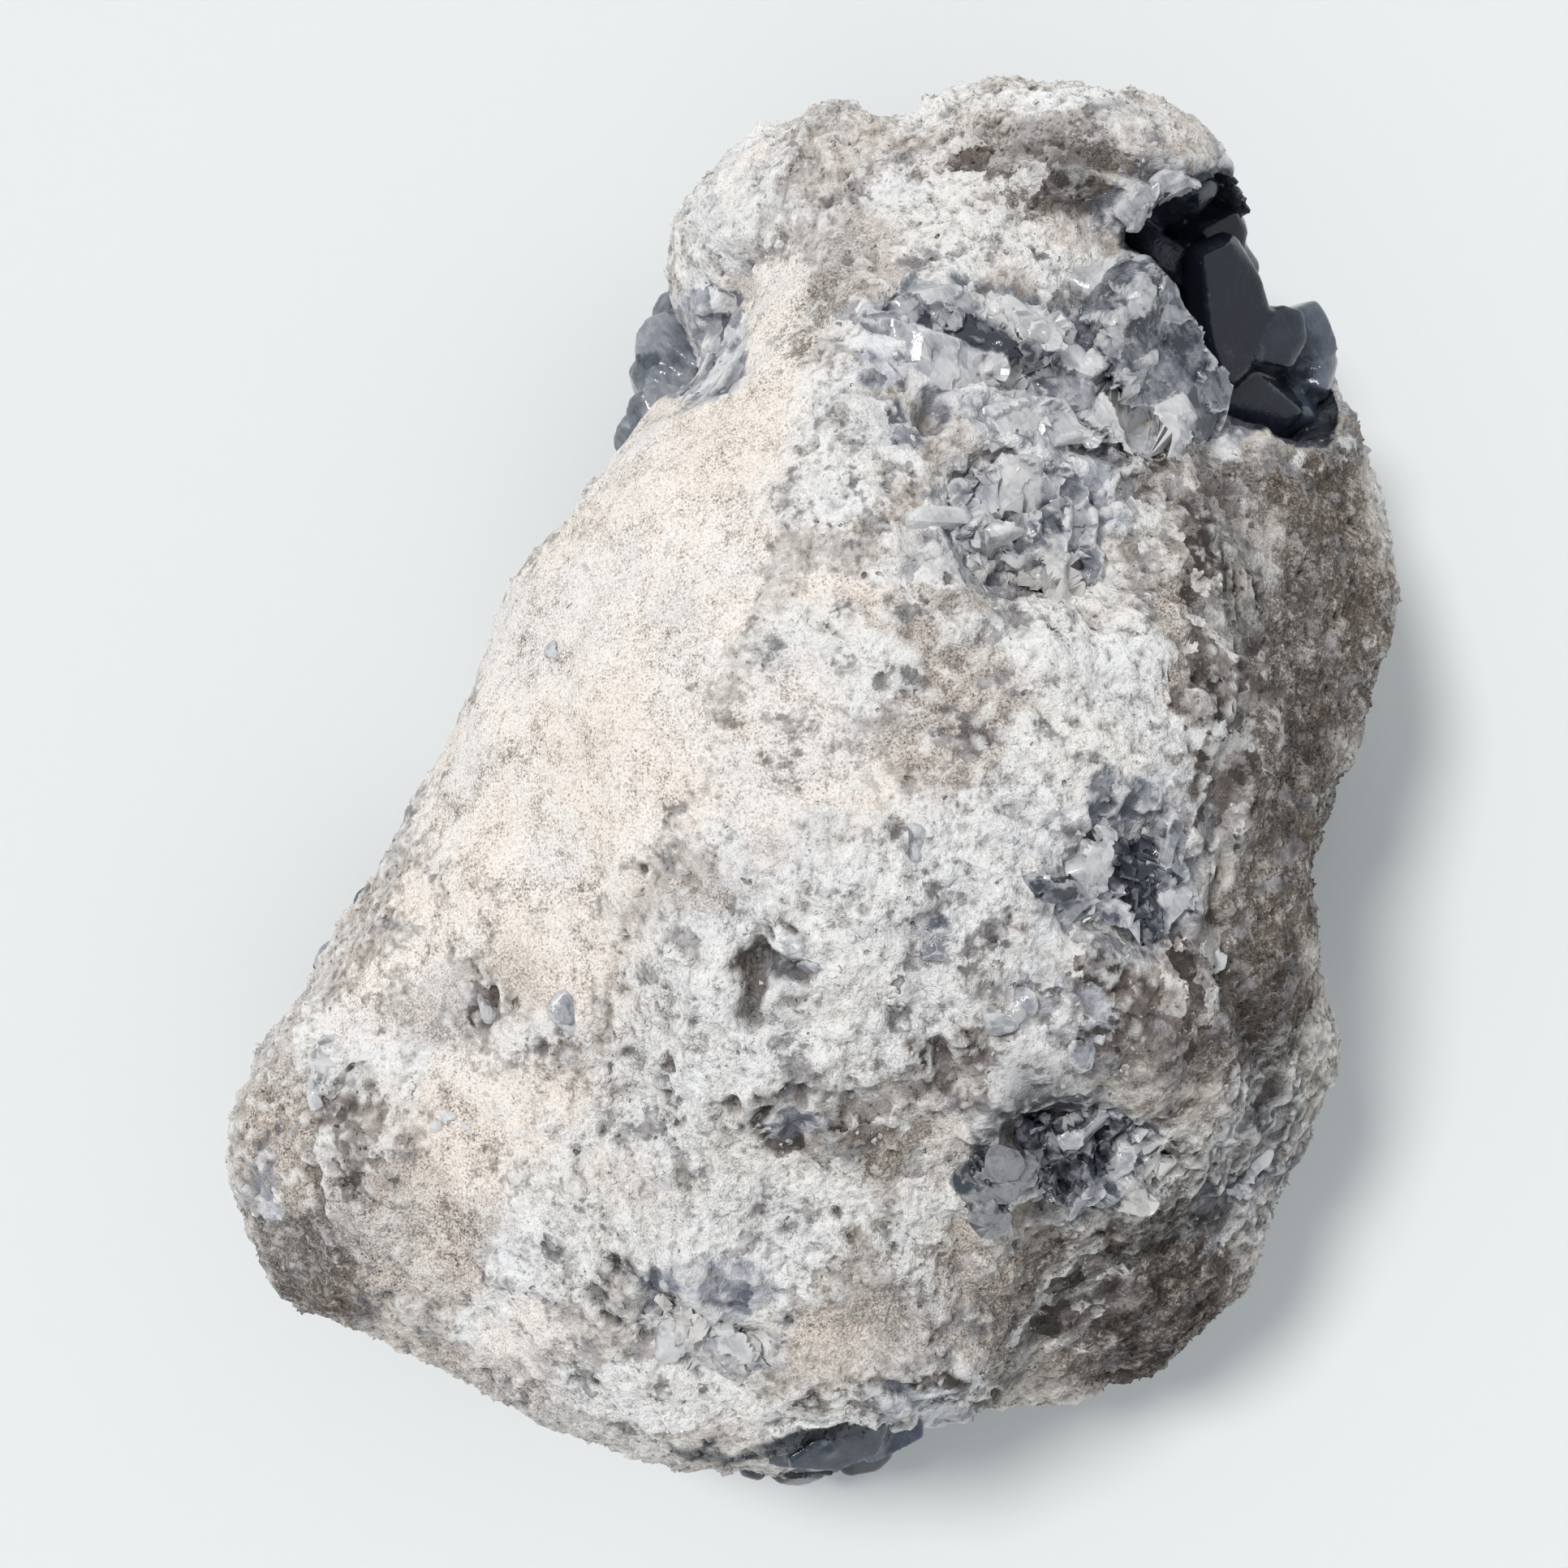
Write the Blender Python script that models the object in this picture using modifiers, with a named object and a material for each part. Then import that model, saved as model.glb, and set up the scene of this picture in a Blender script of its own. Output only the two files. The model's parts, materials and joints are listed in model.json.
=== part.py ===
"""Celestite geode fragment, lying on its broken rim with its rough outside up.

A nodule wall of pale limy rock carries broken veins and pockets of grey-blue celestite. One
hollow opens at the narrow end, and the underside is a hollow lined with crystals.

+Z is up, +Y runs to the narrow end, and the origin is on the ground under the middle of the
piece. Every length below is in millimetres, and finish_object turns it into metres.
"""

import math
import random
from dataclasses import dataclass

import bmesh
import bpy
import numpy as np
from mathutils import Matrix, Vector, noise
from mathutils.bvhtree import BVHTree

MM = 0.001
GAP = 0.3  # room between a crystal group and the rock that it grows from
SEAM_DEPTH = 0.7  # how far the middle of a seam lies under the rock's skin
GOLDEN_TURN = math.pi * (3 - math.sqrt(5))  # spreads things evenly round a middle

# The piece as it lies
HEIGHT = 84.0  # top of the dome above the ground
CROWN = Vector((10.0, 6.0))  # where the dome is highest
CROWN_REACH = Vector((46.0, 62.0))  # how far the crown falls off, across and along
SHOULDER_HEIGHT = 58.0  # height that the dome falls to, far from the crown
ROOT_DEPTH = 16.0  # how far the body would go on below the ground before the cut
UPPER_FULLNESS = 0.86  # under 1 makes the flanks stand steeper
LOWER_FULLNESS = 0.62

# Outline of the body seen from above: x, y and the height where it bulges furthest
OUTLINE = (
    (7, 79, 48), (21, 83, 50), (36, 83, 50), (47, 78, 47), (49, 65, 40), (53, 59, 37),
    (61, 53, 36), (66, 42, 37), (68, 28, 38), (65, 13, 36), (60, -3, 34), (58, -14, 34),
    (64, -24, 34), (60, -39, 31), (46, -48, 32), (33, -57, 34), (19, -66, 33), (9, -75, 29),
    (-3, -80, 26), (-19, -76, 28), (-34, -69, 30), (-51, -62, 33), (-64, -54, 36),
    (-68, -42, 38), (-64, -30, 38), (-56, -13, 38), (-47, -3, 39), (-44, 7, 40),
    (-38, 18, 42), (-31, 31, 42), (-25, 40, 43), (-11, 53, 45), (-5, 61, 47), (0, 69, 48),
)


@dataclass
class Lobe:
    """A rounded swelling of the nodule: centre, half sizes, and turn about +Z in degrees."""

    centre: tuple
    half: tuple
    turn: float = 0.0


LOBES = (
    Lobe((0, 66, 28), (18, 17, 25)),  # low shoulder on the left of the narrow end
    Lobe((28, 66, 43), (23, 17, 22)),  # hood over the open hollow
    Lobe((35, -49, 22), (26, 18.5, 27), 40),  # low lobe at the right of the wide end
    Lobe((-43, -38, 34), (24, 24, 25), 20),  # left lobe of the wide end
    Lobe((-8, -44, 36), (39, 32, 33)),  # middle lobe of the wide end
    Lobe((18, 0, 40), (39, 54, 43), 12),  # right side of the crown
)


@dataclass
class Swell:
    """A broad bump, or a dent if its rise is negative, placed on the upper surface."""

    place: tuple
    reach: tuple
    rise: float
    turn: float = 0.0


SWELLS = (
    Swell((29, 64), (17, 4), -4.5, -16),  # dark shelf below the hood's rim
    Swell((33, 75), (14, 4), 1.8, -16),  # the hood's rim
    Swell((26, 46), (15, 8), -2.5, -20),  # broken vein
    Swell((23, 30), (10, 8), -4.5, -25),  # middle pocket
    Swell((31, -6), (9, 7), -4.5, 0),  # right pocket
    Swell((29, -35), (10, 8), -6.0, -30),  # lower pocket
    Swell((-11, -56), (9, 6), -2.2, -25),  # front pocket
    Swell((11, 10), (11, 8), -1.6, 20),  # shallow sandy dish on the crown
    Swell((-12, -12), (9, 6), 2.6, 60),  # knuckle between the two lobes
    Swell((-2, -24), (13, 9), 2.4, 0),  # brow of the middle lobe
    Swell((-15, 20), (13, 26), 1.6, -20),  # smooth flank on the left
    Swell((-52, -30), (10, 12), 1.8, 0),  # cheek of the left lobe
    Swell((46, 15), (5, 22), 2.6, 8),  # spine along the right of the crown
    Swell((6, 44), (8, 22), 2.2, -24),  # ridge from the hood to the flank
)


@dataclass
class Groove:
    """A crease that runs over the upper surface from point to point."""

    route: tuple
    width: float
    depth: float


GROOVES = (
    Groove(((46, 40), (50, 24), (51, 8), (48, -4), (47, -20), (52, -32)), 3.2, 2.6),
    Groove(((-20, -17), (-21, -28), (-19, -38)), 3.0, 1.6),
    Groove(((18, -70), (21, -60), (23, -50), (22, -40)), 3.2, 3.2),
    Groove(((0, 76), (-5, 64), (-11, 56), (-18, 48)), 3.0, 2.0),
    Groove(((8, 62), (18, 57), (28, 55), (37, 61)), 3.4, 1.6),
)

# Lumps of the rock's skin, from coarse to fine: size, rise
SKIN_WAVES = ((19.0, 1.6), (8.0, 1.1), (4.6, 0.5))
SKIN_SEED = Vector((3.7, 11.2, 5.1))

BODY_ROUNDS = 5  # subdivisions of the sphere that the body starts from
REMESH_SIZE = 2.4
SMOOTHING_ROUNDS = 12
ROCK_TRIANGLES = 2450

# The hollow under the piece
UNDER_CENTRE = Vector((6.0, -8.0, -3.0))
UNDER_HALF = Vector((36.0, 51.0, 33.0))
CRUST_THICKNESS = 3.2
CRUST_CLEARANCE = 0.6  # how far the crust stays above the ground
UNDER_CRYSTALS = 22
UNDER_CRYSTAL_SIZE = (8.0, 12.0)
UNDER_CRYSTAL_REACH = 0.885  # where the crystals' feet stand, as a share of the hollow

# The hollow that opens at the narrow end, under the hood
MOUTH_CENTRE = Vector((48.0, 57.5, 43.0))
MOUTH_HALF = Vector((17.5, 9.5, 18.0))
MOUTH_TURN = -50.0
MOUTH_FLOOR_CENTRE = Vector((48.0, 57.5, 30.0))
MOUTH_FLOOR_HALF = Vector((13.5, 7.5, 6.0))
MOUTH_CRYSTAL_ROOT = 4.0

# The mouth's crystals: foot, direction, width, thickness, length, bearing
MOUTH_CRYSTALS = (
    ((46, 61, 30), (0.05, 0.1, 1), 10, 9, 17, 35),
    ((49, 53, 31), (0.1, 0.25, 1), 8, 7, 13, -30),
    ((40, 66, 32), (0.3, -0.3, 1), 8, 7, 13, 80),
    ((52, 55, 29), (0.35, 0.1, 1), 7, 6, 10, 10),
    ((41, 58, 33), (0.3, 0.2, 1), 7, 6, 9, 50),
    ((46, 67, 42), (0.9, -0.3, 0.7), 7, 6, 5, 70),
    ((42, 71, 46), (0.8, 0.2, 0.8), 7, 5, 5, 15),
    ((51, 47, 40), (0.2, 0.4, 1), 6, 5, 6, 60),
)


@dataclass
class Crystals:
    """A group of crystals grown together on one seam of celestite.

    centre and facing place the seam's middle and the way it looks out of the rock, spread is
    its half length and half width, and bearing is the way its length runs, in degrees. size
    holds the smallest and largest crystal, and seam is half the seam's thickness.
    """

    name: str
    centre: tuple
    facing: tuple
    spread: tuple
    bearing: float
    count: int
    size: tuple
    seed: int
    seam: float = 1.6


VEINS = (
    Crystals("vein_crystals", (25, 48, 66), (0.15, 0.25, 1), (17, 6.5), -17, 14, (7, 12), 11),
    Crystals("middle_pocket_crystals", (23, 31, 74), (0.15, 0.1, 1), (11, 6.5), -25, 9, (6, 10), 12),
    Crystals("right_pocket_crystals", (31, -6, 69), (0.2, 0, 1), (9, 6), 10, 7, (6, 9), 13),
    Crystals("lower_pocket_crystals", (29, -35, 60), (0.4, -0.2, 1), (10, 7), -35, 9, (6, 10), 14),
    Crystals("front_pocket_crystals", (-11, -56, 66), (-0.05, -0.4, 1), (8, 5), -25, 5, (5, 8), 15),
)
EDGES = (
    Crystals("left_edge_crystals", (-14, 51, 24), (-0.8, 0.4, 0.45), (10, 6), 58, 9, (8, 11), 16, 3.0),
    Crystals("left_rim_crystals", (-56, -9, 12), (-0.88, 0.47, -0.1), (14, 5), 61, 6, (7, 9), 17, 2.8),
    Crystals("right_rim_crystals", (62, 3, 14), (1, 0.05, -0.1), (13, 5), 88, 7, (7, 10), 18, 3.4),
    Crystals("front_rim_crystals", (1, -79, 16), (0.1, -1, -0.1), (12, 5.5), 0, 6, (9, 12), 19, 3.6),
)

ROCK_COLOUR = (0.62, 0.57, 0.53, 1.0)
CELESTITE_COLOUR = (0.33, 0.38, 0.47, 1.0)


def clear_scene():
    """Removes what the startup scene holds."""
    for obj in list(bpy.data.objects):
        bpy.data.objects.remove(obj)


def new_collection(name):
    """A collection under the scene's own."""
    made = bpy.data.collections.new(name)
    bpy.context.scene.collection.children.link(made)
    return made


def make_material(name, colour, roughness):
    """A Principled material with one plain colour."""
    material = bpy.data.materials.new(name)
    material.use_nodes = True
    shader = material.node_tree.nodes["Principled BSDF"]
    shader.inputs["Base Color"].default_value = colour
    shader.inputs["Roughness"].default_value = roughness
    shader.inputs["Metallic"].default_value = 0.0
    material.diffuse_color = colour
    return material


def finish_object(bm, name, collection):
    """Turns a bmesh in millimetres into an object in metres."""
    bmesh.ops.scale(bm, vec=(MM, MM, MM), verts=bm.verts)
    mesh = bpy.data.meshes.new(name)
    bm.to_mesh(mesh)
    bm.free()
    obj = bpy.data.objects.new(name, mesh)
    collection.objects.link(obj)
    return obj


def evaluated_bmesh(obj):
    """The object's mesh with its modifiers, as a bmesh in millimetres."""
    graph = bpy.context.evaluated_depsgraph_get()
    bm = bmesh.new()
    bm.from_object(obj, graph)
    bmesh.ops.scale(bm, vec=(1 / MM, 1 / MM, 1 / MM), verts=bm.verts)
    return bm


def remove_object(obj):
    """Removes an object and its mesh."""
    mesh = obj.data
    bpy.data.objects.remove(obj)
    bpy.data.meshes.remove(mesh)


def any_way(chance):
    """A vector whose parts are each drawn from -1 to 1."""
    return Vector((chance.uniform(-1, 1), chance.uniform(-1, 1), chance.uniform(-1, 1)))


def smooth_step(low, high, value):
    """0 below low, 1 above high, and a smooth rise between them."""
    t = min(1.0, max(0.0, (value - low) / (high - low)))
    return t * t * (3.0 - 2.0 * t)


def outline_tables():
    """Angles, reaches and bulge heights of the outline about the origin, sorted by angle."""
    rows = sorted((math.atan2(y, x), math.hypot(x, y), z) for x, y, z in OUTLINE)
    return [np.array(column) for column in zip(*rows)]


def shape_body(bm, tables):
    """Moves a unit sphere's points onto the main body."""
    angles, reaches, bulges = tables
    for vert in bm.verts:
        direction = vert.co.normalized()
        angle = math.atan2(direction.y, direction.x)
        reach = np.interp(angle, angles, reaches, period=2 * math.pi)
        bulge = np.interp(angle, angles, bulges, period=2 * math.pi)
        level = math.hypot(direction.x, direction.y)
        fullness = UPPER_FULLNESS if direction.z > 0 else LOWER_FULLNESS
        plan = Vector((math.cos(angle), math.sin(angle))) * reach * level**fullness
        if direction.z > 0:
            away = Vector(((plan.x - CROWN.x) / CROWN_REACH.x, (plan.y - CROWN.y) / CROWN_REACH.y))
            top = SHOULDER_HEIGHT + (HEIGHT - SHOULDER_HEIGHT) * math.exp(-away.length_squared)
            rise = bulge + (top - bulge) * direction.z
        else:
            rise = bulge + (bulge + ROOT_DEPTH) * direction.z
        vert.co = (plan.x, plan.y, rise)


def add_ellipsoid(bm, centre, half, turn, rounds):
    """Adds a sphere stretched to half sizes, turned about +Z and moved to centre."""
    place = (
        Matrix.Translation(Vector(centre))
        @ Matrix.Rotation(math.radians(turn), 4, "Z")
        @ Matrix.Diagonal((*half, 1.0))
    )
    bmesh.ops.create_icosphere(bm, subdivisions=rounds, radius=1.0, matrix=place)


def swell_at(point):
    """Height of every broad bump and dent above one place on the upper surface."""
    total = 0.0
    for swell in SWELLS:
        away = Matrix.Rotation(-math.radians(swell.turn), 2) @ (point.xy - Vector(swell.place))
        share = (away.x / swell.reach[0]) ** 2 + (away.y / swell.reach[1]) ** 2
        total += swell.rise * math.exp(-share)
    return total


def distance_to_route(point, route):
    """Shortest way on the plan from a point to a line of points."""
    best = math.inf
    for start, end in zip(route, route[1:]):
        a, b = Vector(start), Vector(end)
        share = max(0.0, min(1.0, (point.xy - a).dot(b - a) / (b - a).length_squared))
        best = min(best, (point.xy - a.lerp(b, share)).length)
    return best


def groove_at(point):
    """Depth of every crease at one place on the upper surface."""
    return sum(
        groove.depth * math.exp(-((distance_to_route(point, groove.route) / groove.width) ** 2))
        for groove in GROOVES
    )


def skin_at(point):
    """Height of the rock's own lumps at one point."""
    return sum(rise * noise.noise(point / size + SKIN_SEED) for size, rise in SKIN_WAVES)


def carve_relief(bm):
    """Pushes the surface in and out along its normals for bumps, creases and lumps."""
    bm.normal_update()
    moves = []
    for vert in bm.verts:
        upper = smooth_step(-0.1, 0.5, vert.normal.z)
        relief = upper * (swell_at(vert.co) - groove_at(vert.co)) + skin_at(vert.co)
        moves.append(vert.normal * relief)
    for vert, move in zip(bm.verts, moves):
        vert.co += move


def rock_body(scratch):
    """The nodule as one closed skin, before anything is cut from it."""
    bm = bmesh.new()
    bmesh.ops.create_icosphere(bm, subdivisions=BODY_ROUNDS, radius=1.0)
    shape_body(bm, outline_tables())
    for lobe in LOBES:
        add_ellipsoid(bm, lobe.centre, lobe.half, lobe.turn, 4)
    body = finish_object(bm, "body_form", scratch)
    remesh = body.modifiers.new("one skin", "REMESH")
    remesh.mode = "VOXEL"
    remesh.voxel_size = REMESH_SIZE * MM
    smooth = body.modifiers.new("soft creases", "SMOOTH")
    smooth.factor = 0.5
    smooth.iterations = SMOOTHING_ROUNDS
    bm = evaluated_bmesh(body)
    remove_object(body)
    carve_relief(bm)
    return bm


def thin_out(bm, triangles, scratch):
    """The same skin with about this many triangles."""
    bmesh.ops.triangulate(bm, faces=bm.faces)
    share = triangles / len(bm.faces)
    form = finish_object(bm, "skin_form", scratch)
    decimate = form.modifiers.new("fewer faces", "DECIMATE")
    decimate.ratio = share
    bm = evaluated_bmesh(form)
    remove_object(form)
    return bm


def cut_flat(bm):
    """Cuts the skin off at the ground and closes it."""
    cut = bmesh.ops.bisect_plane(
        bm,
        geom=[*bm.verts, *bm.edges, *bm.faces],
        plane_co=(0, 0, 0),
        plane_no=(0, 0, 1),
        clear_inner=True,
    )["geom_cut"]
    edges = [item for item in cut if isinstance(item, bmesh.types.BMEdge)]
    bmesh.ops.triangle_fill(bm, use_beauty=True, use_dissolve=False, edges=edges)
    bmesh.ops.recalc_face_normals(bm, faces=bm.faces)


def largest_piece(bm):
    """Leaves only the largest connected piece of a mesh."""
    pieces = []
    left = set(bm.verts)
    while left:
        queue = [left.pop()]
        found = set(queue)
        while queue:
            for edge in queue.pop().link_edges:
                for vert in edge.verts:
                    if vert in left:
                        left.remove(vert)
                        found.add(vert)
                        queue.append(vert)
        pieces.append(found)
    pieces.sort(key=len)
    small = [vert for piece in pieces[:-1] for vert in piece]
    bmesh.ops.delete(bm, geom=small, context="VERTS")


def combine(obj, others, operation, scratch):
    """The object's mesh joined with the others, or with them cut away, as a bmesh."""
    group = new_collection(obj.name + "_" + operation.lower())
    for other in others:
        group.objects.link(other)
    boolean = obj.modifiers.new("combine", "BOOLEAN")
    boolean.operation = operation
    boolean.operand_type = "COLLECTION"
    boolean.collection = group
    boolean.solver = "EXACT"
    bm = evaluated_bmesh(obj)
    bpy.data.collections.remove(group)
    remove_object(obj)
    for other in others:
        remove_object(other)
    largest_piece(bm)
    bmesh.ops.dissolve_limit(bm, angle_limit=math.radians(0.5), verts=bm.verts, edges=bm.edges)
    bmesh.ops.triangulate(bm, faces=bm.faces)
    return bm


@dataclass
class Grown:
    """A crystal's sizes and place, and the slopes of its roof's four faces in degrees."""

    width: float
    thickness: float
    length: float
    root: float
    place: Matrix
    roof: tuple = (48, 48, 40, 40)


def crystal_mesh(grown, shift):
    """One celestite crystal along +Z: a six-sided prism that ends in a roof of four faces.

    It reaches its length above its foot and its root below. Every face stands shift further out.
    """
    width, thickness, length, root = grown.width, grown.thickness, grown.length, grown.root
    half = max(width, thickness, length, root) * 2.0
    bm = bmesh.new()
    bmesh.ops.create_cube(bm, size=2.0 * half)
    side = math.radians(52)
    planes = [(Vector((sign, 0, 0)), width / 2) for sign in (-1, 1)]
    planes += [
        (Vector((across * math.cos(side), along * math.sin(side), 0)), thickness / 2)
        for across in (-1, 1)
        for along in (-1, 1)
    ]
    ways = (Vector((0, 1, 0)), Vector((0, -1, 0)), Vector((1, 0, 0)), Vector((-1, 0, 0)))
    for way, slope in zip(ways, grown.roof):
        angle = math.radians(slope)
        top = length + 0.1 * width * abs(way.x)
        planes.append((way * math.sin(angle) + Vector((0, 0, math.cos(angle))), top * math.cos(angle)))
    planes.append((Vector((0, 0, -1)), root))
    for normal, distance in planes:
        cut = bmesh.ops.bisect_plane(
            bm,
            geom=[*bm.verts, *bm.edges, *bm.faces],
            dist=1e-5,
            plane_co=normal * (distance + shift),
            plane_no=normal,
            clear_outer=True,
        )["geom_cut"]
        edges = [item for item in cut if isinstance(item, bmesh.types.BMEdge)]
        if edges:
            bmesh.ops.contextual_create(bm, geom=edges)
    return bm


def facing_matrix(point, direction, bearing):
    """Places +Z along a direction at a point, and +X as near as it can to a bearing."""
    up = direction.normalized()
    along = Vector((math.cos(bearing), math.sin(bearing), 0.02))
    across = up.cross(along).normalized()
    axes = Matrix((across.cross(up), across, up)).transposed()
    return Matrix.Translation(point) @ axes.to_4x4()


def crystal_object(grown, shift, scratch):
    """A crystal in its place, each face standing shift further out."""
    bm = crystal_mesh(grown, shift)
    bmesh.ops.transform(bm, matrix=grown.place, verts=bm.verts)
    bmesh.ops.recalc_face_normals(bm, faces=bm.faces)
    return finish_object(bm, "crystal", scratch)


def seam_object(group, frame, shift, scratch):
    """The solid celestite that a group's crystals stand on, as a plate in the rock's skin."""
    bm = bmesh.new()
    bmesh.ops.create_cone(
        bm,
        cap_ends=True,
        segments=9,
        radius1=0.7,
        radius2=0.9,
        depth=2.0,
        matrix=Matrix.Translation((0, 0, -SEAM_DEPTH))
        @ Matrix.Diagonal((group.spread[0] + shift, group.spread[1] + shift, group.seam + shift, 1.0)),
    )
    bmesh.ops.transform(bm, matrix=frame, verts=bm.verts)
    return finish_object(bm, "seam", scratch)


def skin_under(group, facing, bearing, tree):
    """The middle of the rock's skin under a group's seam, and the way that it looks."""
    start = facing_matrix(Vector(group.centre) + facing * 60.0, facing, bearing)
    hits = []
    for number in range(8):
        around = number * math.pi / 4
        along = 0.6 * group.spread[0] * math.cos(around)
        across = 0.6 * group.spread[1] * math.sin(around)
        hits.append(tree.ray_cast(start @ Vector((along, across, 0.0)), -facing)[:2])
    middle = sum((point for point, _ in hits), Vector()) / len(hits)
    normal = sum((normal for _, normal in hits), Vector()).normalized()
    return middle, normal


def grow_group(group, broken, tree):
    """Where a group's seam lies on the rock, and its crystals."""
    chance = random.Random(group.seed)
    facing = Vector(group.facing).normalized()
    bearing = math.radians(group.bearing)
    hit, facing = skin_under(group, facing, bearing, tree)
    frame = facing_matrix(hit, facing, bearing)
    grown = []
    for number in range(group.count):
        ring = math.sqrt((number + 0.5) / group.count)
        around = number * GOLDEN_TURN + chance.uniform(-0.3, 0.3)
        along = 0.88 * group.spread[0] * ring * math.cos(around)
        across = 0.88 * group.spread[1] * ring * math.sin(around)
        foot = frame @ Vector((along, across, group.seam - SEAM_DEPTH))
        ground = tree.ray_cast(foot + facing * 12.0, -facing, 24.0)[0]
        rise = max(0.0, (ground - foot).dot(facing)) if ground else 0.0
        size = chance.uniform(*group.size) * (1.12 - 0.35 * ring)
        if broken:
            way = facing + any_way(chance) * 0.42
            grown.append(broken_crystal(size, rise, foot, way, chance))
        else:
            outward = (foot - hit) * (0.6 / max(group.spread))
            way = facing + outward + any_way(chance) * 0.3
            grown.append(whole_crystal(size, rise, foot, way, chance))
        grown[-1].root = 1.4 * group.seam
    return frame, grown


def whole_crystal(size, rise, foot, way, chance):
    """A crystal that stands up with its own chisel tip."""
    width = size * chance.uniform(0.75, 1.0)
    return Grown(
        width=width,
        thickness=width * chance.uniform(0.65, 0.9),
        length=rise + size * chance.uniform(0.4, 0.8),
        root=0.0,
        place=facing_matrix(foot, way, chance.uniform(0, math.pi)),
    )


def broken_crystal(size, rise, foot, way, chance):
    """A crystal broken off low, whose top is one broad cleavage face."""
    return Grown(
        width=size * chance.uniform(0.8, 1.1),
        thickness=size * chance.uniform(0.35, 0.6),
        length=rise + size * chance.uniform(0.16, 0.38),
        root=0.0,
        place=facing_matrix(foot, way, chance.uniform(0, math.pi)),
        roof=(chance.uniform(8, 24), chance.uniform(50, 70), 45, chance.uniform(30, 60)),
    )


def group_solids(group, broken, tree, scratch):
    """A group as one bmesh, and the objects that make room for it in the rock."""
    frame, grown = grow_group(group, broken, tree)
    seam = seam_object(group, frame, 0.0, scratch)
    crystals = [crystal_object(each, 0.0, scratch) for each in grown]
    room = [seam_object(group, frame, GAP, scratch)]
    room += [crystal_object(each, GAP, scratch) for each in grown]
    return combine(seam, crystals, "UNION", scratch), room


def mouth_crystal(row):
    """One of the large crystals in the hollow under the hood."""
    foot, way, width, thickness, length, bearing = row
    return Grown(
        width=width,
        thickness=thickness,
        length=length,
        root=MOUTH_CRYSTAL_ROOT,
        place=facing_matrix(Vector(foot), Vector(way), math.radians(bearing)),
    )


def mouth_ellipsoid(centre, half, scratch):
    """An ellipsoid turned the way the mouth opens."""
    bm = bmesh.new()
    add_ellipsoid(bm, centre, half, MOUTH_TURN, 2)
    return finish_object(bm, "mouth", scratch)


def mouth_solids(scratch):
    """The mouth's crust with its crystals as one bmesh, and the objects that make room for it."""
    grown = [mouth_crystal(row) for row in MOUTH_CRYSTALS]
    floor = mouth_ellipsoid(MOUTH_FLOOR_CENTRE, MOUTH_FLOOR_HALF, scratch)
    crystals = [crystal_object(each, 0.0, scratch) for each in grown]
    wider = MOUTH_FLOOR_HALF + Vector((GAP, GAP, GAP))
    room = [
        mouth_ellipsoid(MOUTH_CENTRE, MOUTH_HALF, scratch),
        mouth_ellipsoid(MOUTH_FLOOR_CENTRE, wider, scratch),
    ]
    room += [crystal_object(each, GAP, scratch) for each in grown]
    return combine(floor, crystals, "UNION", scratch), room


def under_shell(half, scratch):
    """An ellipsoid in the place of the hollow under the piece."""
    bm = bmesh.new()
    add_ellipsoid(bm, UNDER_CENTRE, half, 0.0, 2)
    return finish_object(bm, "under", scratch)


def ground_object(scratch):
    """A block whose top face lies a little above the ground."""
    size = 200.0
    middle = Matrix.Translation((0, 0, CRUST_CLEARANCE - size / 2))
    bm = bmesh.new()
    bmesh.ops.create_cube(bm, size=size, matrix=middle)
    return finish_object(bm, "ground", scratch)


def crust_crystal(number, half, chance):
    """One crystal on the wall of the hollow under the piece, pointing inward."""
    rise = 0.22 + 0.76 * (number + 0.5) / UNDER_CRYSTALS
    flat = math.sqrt(1 - rise * rise)
    around = number * GOLDEN_TURN
    unit = Vector((flat * math.cos(around), flat * math.sin(around), rise))
    wall = Matrix.Diagonal(half)
    inward = -(wall.inverted() @ unit).normalized()
    width = chance.uniform(*UNDER_CRYSTAL_SIZE)
    return Grown(
        width=width,
        thickness=width * chance.uniform(0.65, 0.9),
        length=width * chance.uniform(0.55, 0.9),
        root=0.3,
        place=facing_matrix(
            UNDER_CENTRE + wall @ unit * UNDER_CRYSTAL_REACH,
            inward + any_way(chance) * 0.15,
            chance.uniform(0, math.pi),
        ),
    )


def under_crust(scratch):
    """The crust of crystals that lines the hollow under the piece."""
    chance = random.Random(40)
    outer = UNDER_HALF - Vector((GAP, GAP, GAP))
    inner = outer - Vector((CRUST_THICKNESS, CRUST_THICKNESS, CRUST_THICKNESS))
    grown = [crust_crystal(number, outer, chance) for number in range(UNDER_CRYSTALS)]
    inside = under_shell(inner, scratch)
    dome = combine(
        under_shell(outer, scratch), [inside, ground_object(scratch)], "DIFFERENCE", scratch
    )
    crystals = [crystal_object(each, 0.0, scratch) for each in grown]
    crust = combine(finish_object(dome, "dome", scratch), crystals, "UNION", scratch)
    crust = finish_object(crust, "crust", scratch)
    return combine(crust, [ground_object(scratch)], "DIFFERENCE", scratch)


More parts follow.
